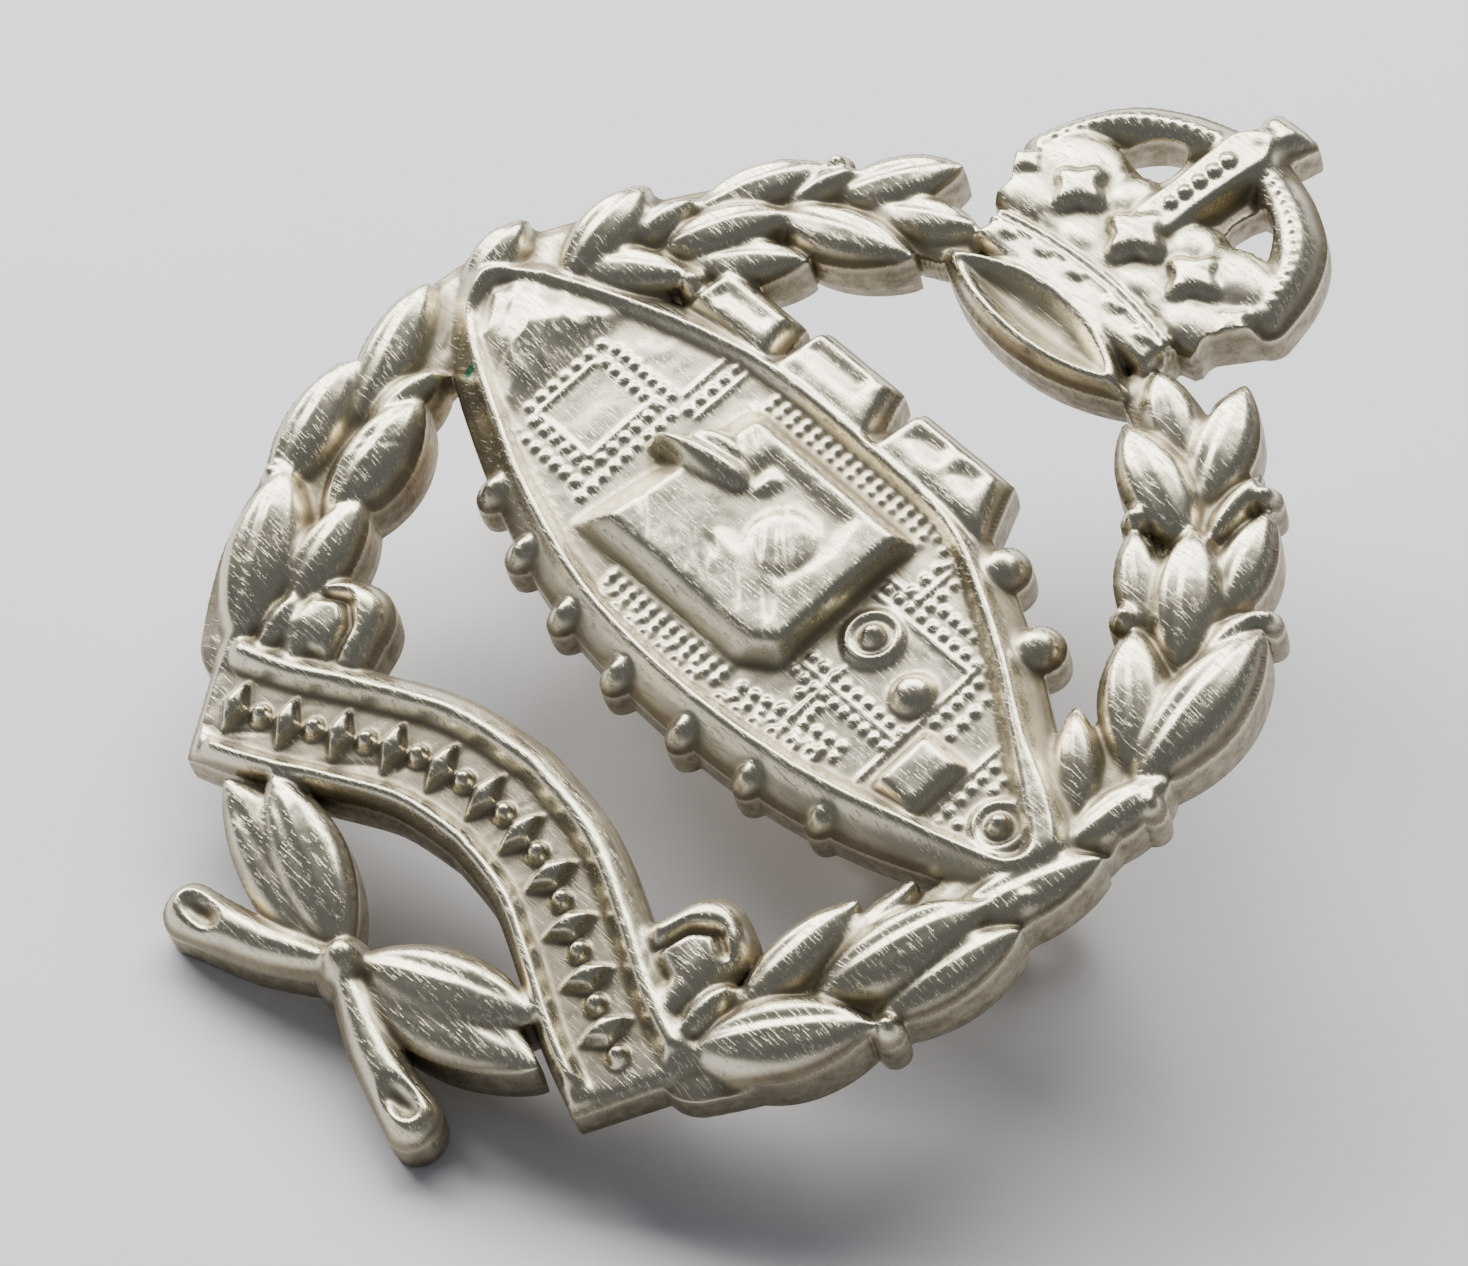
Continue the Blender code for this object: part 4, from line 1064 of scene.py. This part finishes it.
def nickel_silver():
    """Struck nickel silver: warm bright metal, brown tarnish with painted shade in the recesses, pitted dull
    cut edge.
    """
    n = Nodes("nickel_silver")
    recess, edge = n.attribute("recess"), n.attribute("edge")
    cloud = n.noise(0.35, 5)
    patches = n.ramp(n.noise(0.9, 6, 0.7), (0.42, 0), (0.7, 1))
    # hollows of the relief turn dark brown: partly tarnish, partly painted shade
    deep = n.ramp(recess, (0.52, 0), (0.95, 1))
    tarnish_and_shade = n.math("MULTIPLY", deep, n.math("ADD", 0.55, n.math("MULTIPLY", cloud, 0.6)))
    grime = n.ramp(n.noise(2.2, 5, 0.7), (0.35, 0.55), (0.65, 0.95))
    tarnish_and_shade = n.math("MAXIMUM", tarnish_and_shade, n.math("MULTIPLY", edge, grime))
    worn = n.mix(cloud, (0.70, 0.645, 0.495), (0.62, 0.565, 0.42))
    worn = n.mix(n.math("MULTIPLY", patches, 0.3), worn, (0.51, 0.47, 0.36))
    # dark brown: tarnish and painted shade in the recesses, oxide on the cut edge
    colour = n.mix(tarnish_and_shade, worn, (0.20, 0.165, 0.11))
    green = n.ramp(n.math("MULTIPLY", n.attribute("verdigris"), n.noise(5, 3)), (0.2, 0), (0.42, 1))
    colour = n.mix(green, colour, (0.06, 0.42, 0.33))
    n.link(colour, n.shader.inputs["Base Color"])
    fine = n.noise(6, 5, 0.7)
    roughness = n.math("ADD", n.math("MULTIPLY", fine, 0.14), n.math("MULTIPLY", tarnish_and_shade, 0.25))
    n.link(n.math("ADD", roughness, 0.20), n.shader.inputs["Roughness"])
    scratch_a = n.ramp(n.noise(1, 3, 0.5, (1.2, 16, 4), (0, 0, 0.6)), (0.60, 0), (0.66, 1))
    scratch_b = n.ramp(n.noise(1, 3, 0.5, (1.0, 13, 4), (0, 0, 2.2)), (0.62, 0), (0.67, 1))
    scratches = n.math("MULTIPLY", n.math("MAXIMUM", scratch_a, scratch_b), -1)
    pits = n.ramp(n.noise(3.2, 2, 0.5), (0.22, 0), (0.33, 1))
    normal = n.bump(n.noise(1.4, 3, 0.5), 0.4, 0.025)
    normal = n.bump(scratches, 0.5, 0.014, normal)
    normal = n.bump(pits, 0.2, 0.015, normal)
    normal = n.bump(fine, 0.3, 0.005, normal)
    n.link(normal, n.shader.inputs["Normal"])
    return n.material


def wire_metal(name, bright, dark, roughness):
    """Drawn wire: lengthwise drawing marks, darker skin in patches."""
    n = Nodes(name)
    cloud = n.noise(0.5, 5)
    patches = n.ramp(n.noise(1.5, 6, 0.7), (0.4, 0), (0.7, 1))
    colour = n.mix(n.math("MULTIPLY", patches, 0.7), bright, dark)
    n.link(colour, n.shader.inputs["Base Color"])
    n.link(n.math("ADD", n.math("MULTIPLY", cloud, 0.2), roughness), n.shader.inputs["Roughness"])
    marks = n.noise(1, 3, 0.5, (1, 14, 14))
    normal = n.bump(marks, 0.4, 0.02)
    normal = n.bump(n.noise(5, 4), 0.4, 0.015, normal)
    n.link(normal, n.shader.inputs["Normal"])
    return n.material


def pale_floor():
    """Matt pale paper."""
    n = Nodes("pale_floor")
    n.shader.inputs["Metallic"].default_value = 0.0
    colour = n.mix(n.noise(0.05, 3), (0.83, 0.83, 0.86), (0.81, 0.81, 0.84))
    n.link(colour, n.shader.inputs["Base Color"])
    n.shader.inputs["Roughness"].default_value = 0.85
    n.link(n.bump(n.noise(8, 4), 0.1, 0.02), n.shader.inputs["Normal"])
    return n.material


# ---------------------------------------------------------------- floor, light and camera

CAMERA_AZIMUTH = 48.9
CAMERA_ELEVATION = 48.6
CAMERA_DISTANCE = 210.9        # millimetres, to the point that the camera looks at
CAMERA_TARGET = (0.55, -2.6, 0)
CAMERA_LENS = 171.7
SENSOR_WIDTH = 36.0
LIGHT_DISTANCE = 0.34          # metres, to the object
FLOOR_HALF = 0.6


def direction(azimuth, elevation):
    """Unit vector from the object towards a place at that azimuth and elevation, in degrees."""
    turn, lift = math.radians(azimuth), math.radians(elevation)
    return Vector((math.sin(turn) * math.cos(lift), -math.cos(turn) * math.cos(lift), math.sin(lift)))


def aim(thing, target):
    thing.rotation_euler = (target - thing.location).to_track_quat("-Z", "Y").to_euler()


def add_camera():
    data = bpy.data.cameras.new("camera")
    data.lens = CAMERA_LENS
    data.sensor_width = SENSOR_WIDTH
    data.clip_start = 0.005
    camera = bpy.data.objects.new("camera", data)
    bpy.context.collection.objects.link(camera)
    target = Vector(placed([CAMERA_TARGET])[0])
    camera.location = target + direction(CAMERA_AZIMUTH, CAMERA_ELEVATION) * CAMERA_DISTANCE * MM
    aim(camera, target)
    bpy.context.scene.camera = camera


def add_light(name, azimuth, elevation, size, power, colour):
    data = bpy.data.lights.new(name, "AREA")
    data.shape = "RECTANGLE"
    data.size, data.size_y = size
    data.energy = power
    data.color = colour
    light = bpy.data.objects.new(name, data)
    bpy.context.collection.objects.link(light)
    light.location = direction(azimuth, elevation) * LIGHT_DISTANCE
    aim(light, Vector((0, 0, 0)))


def add_floor():
    mesh = bpy.data.meshes.new("floor")
    grid = bmesh.new()
    bmesh.ops.create_grid(grid, x_segments=8, y_segments=8, size=FLOOR_HALF)
    grid.to_mesh(mesh)
    grid.free()
    mesh.materials.append(pale_floor())
    floor = bpy.data.objects.new("floor", mesh)
    bpy.context.collection.objects.link(floor)


def add_studio():
    world = bpy.data.worlds.new("studio")
    world.use_nodes = True
    background = world.node_tree.nodes["Background"]
    background.inputs["Color"].default_value = (0.80, 0.85, 0.95, 1)
    background.inputs["Strength"].default_value = 0.19
    bpy.context.scene.world = world
    add_light("left", -95, 32, (0.22, 0.22), 1.55, (1.0, 0.98, 0.945))
    add_light("behind", -144, 47, (0.30, 0.22), 1.9, (1.0, 0.985, 0.955))


# ---------------------------------------------------------------- the scene

def dress(piece, material, body, node):
    bpy.context.collection.objects.link(piece)
    piece.data.materials.clear()
    piece.data.materials.append(material)
    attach(piece, body)
    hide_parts(node)


def main():
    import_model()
    wire = wire_metal("copper_wire", (0.62, 0.40, 0.26), (0.30, 0.18, 0.11), 0.28)
    brass = wire_metal("brass", (0.80, 0.60, 0.30), (0.45, 0.32, 0.15), 0.2)
    dress(struck_face(), nickel_silver(), "badge", "struck_face")
    dress(lug("lug_left_loop", -LUG_X), wire, "badge", "lug_left")
    dress(lug("lug_right_loop", LUG_X), wire, "badge", "lug_right")
    dress(split_pin("split_pin_wire"), brass, "pin", "split_pin")
    add_floor()
    add_studio()
    add_camera()


main()
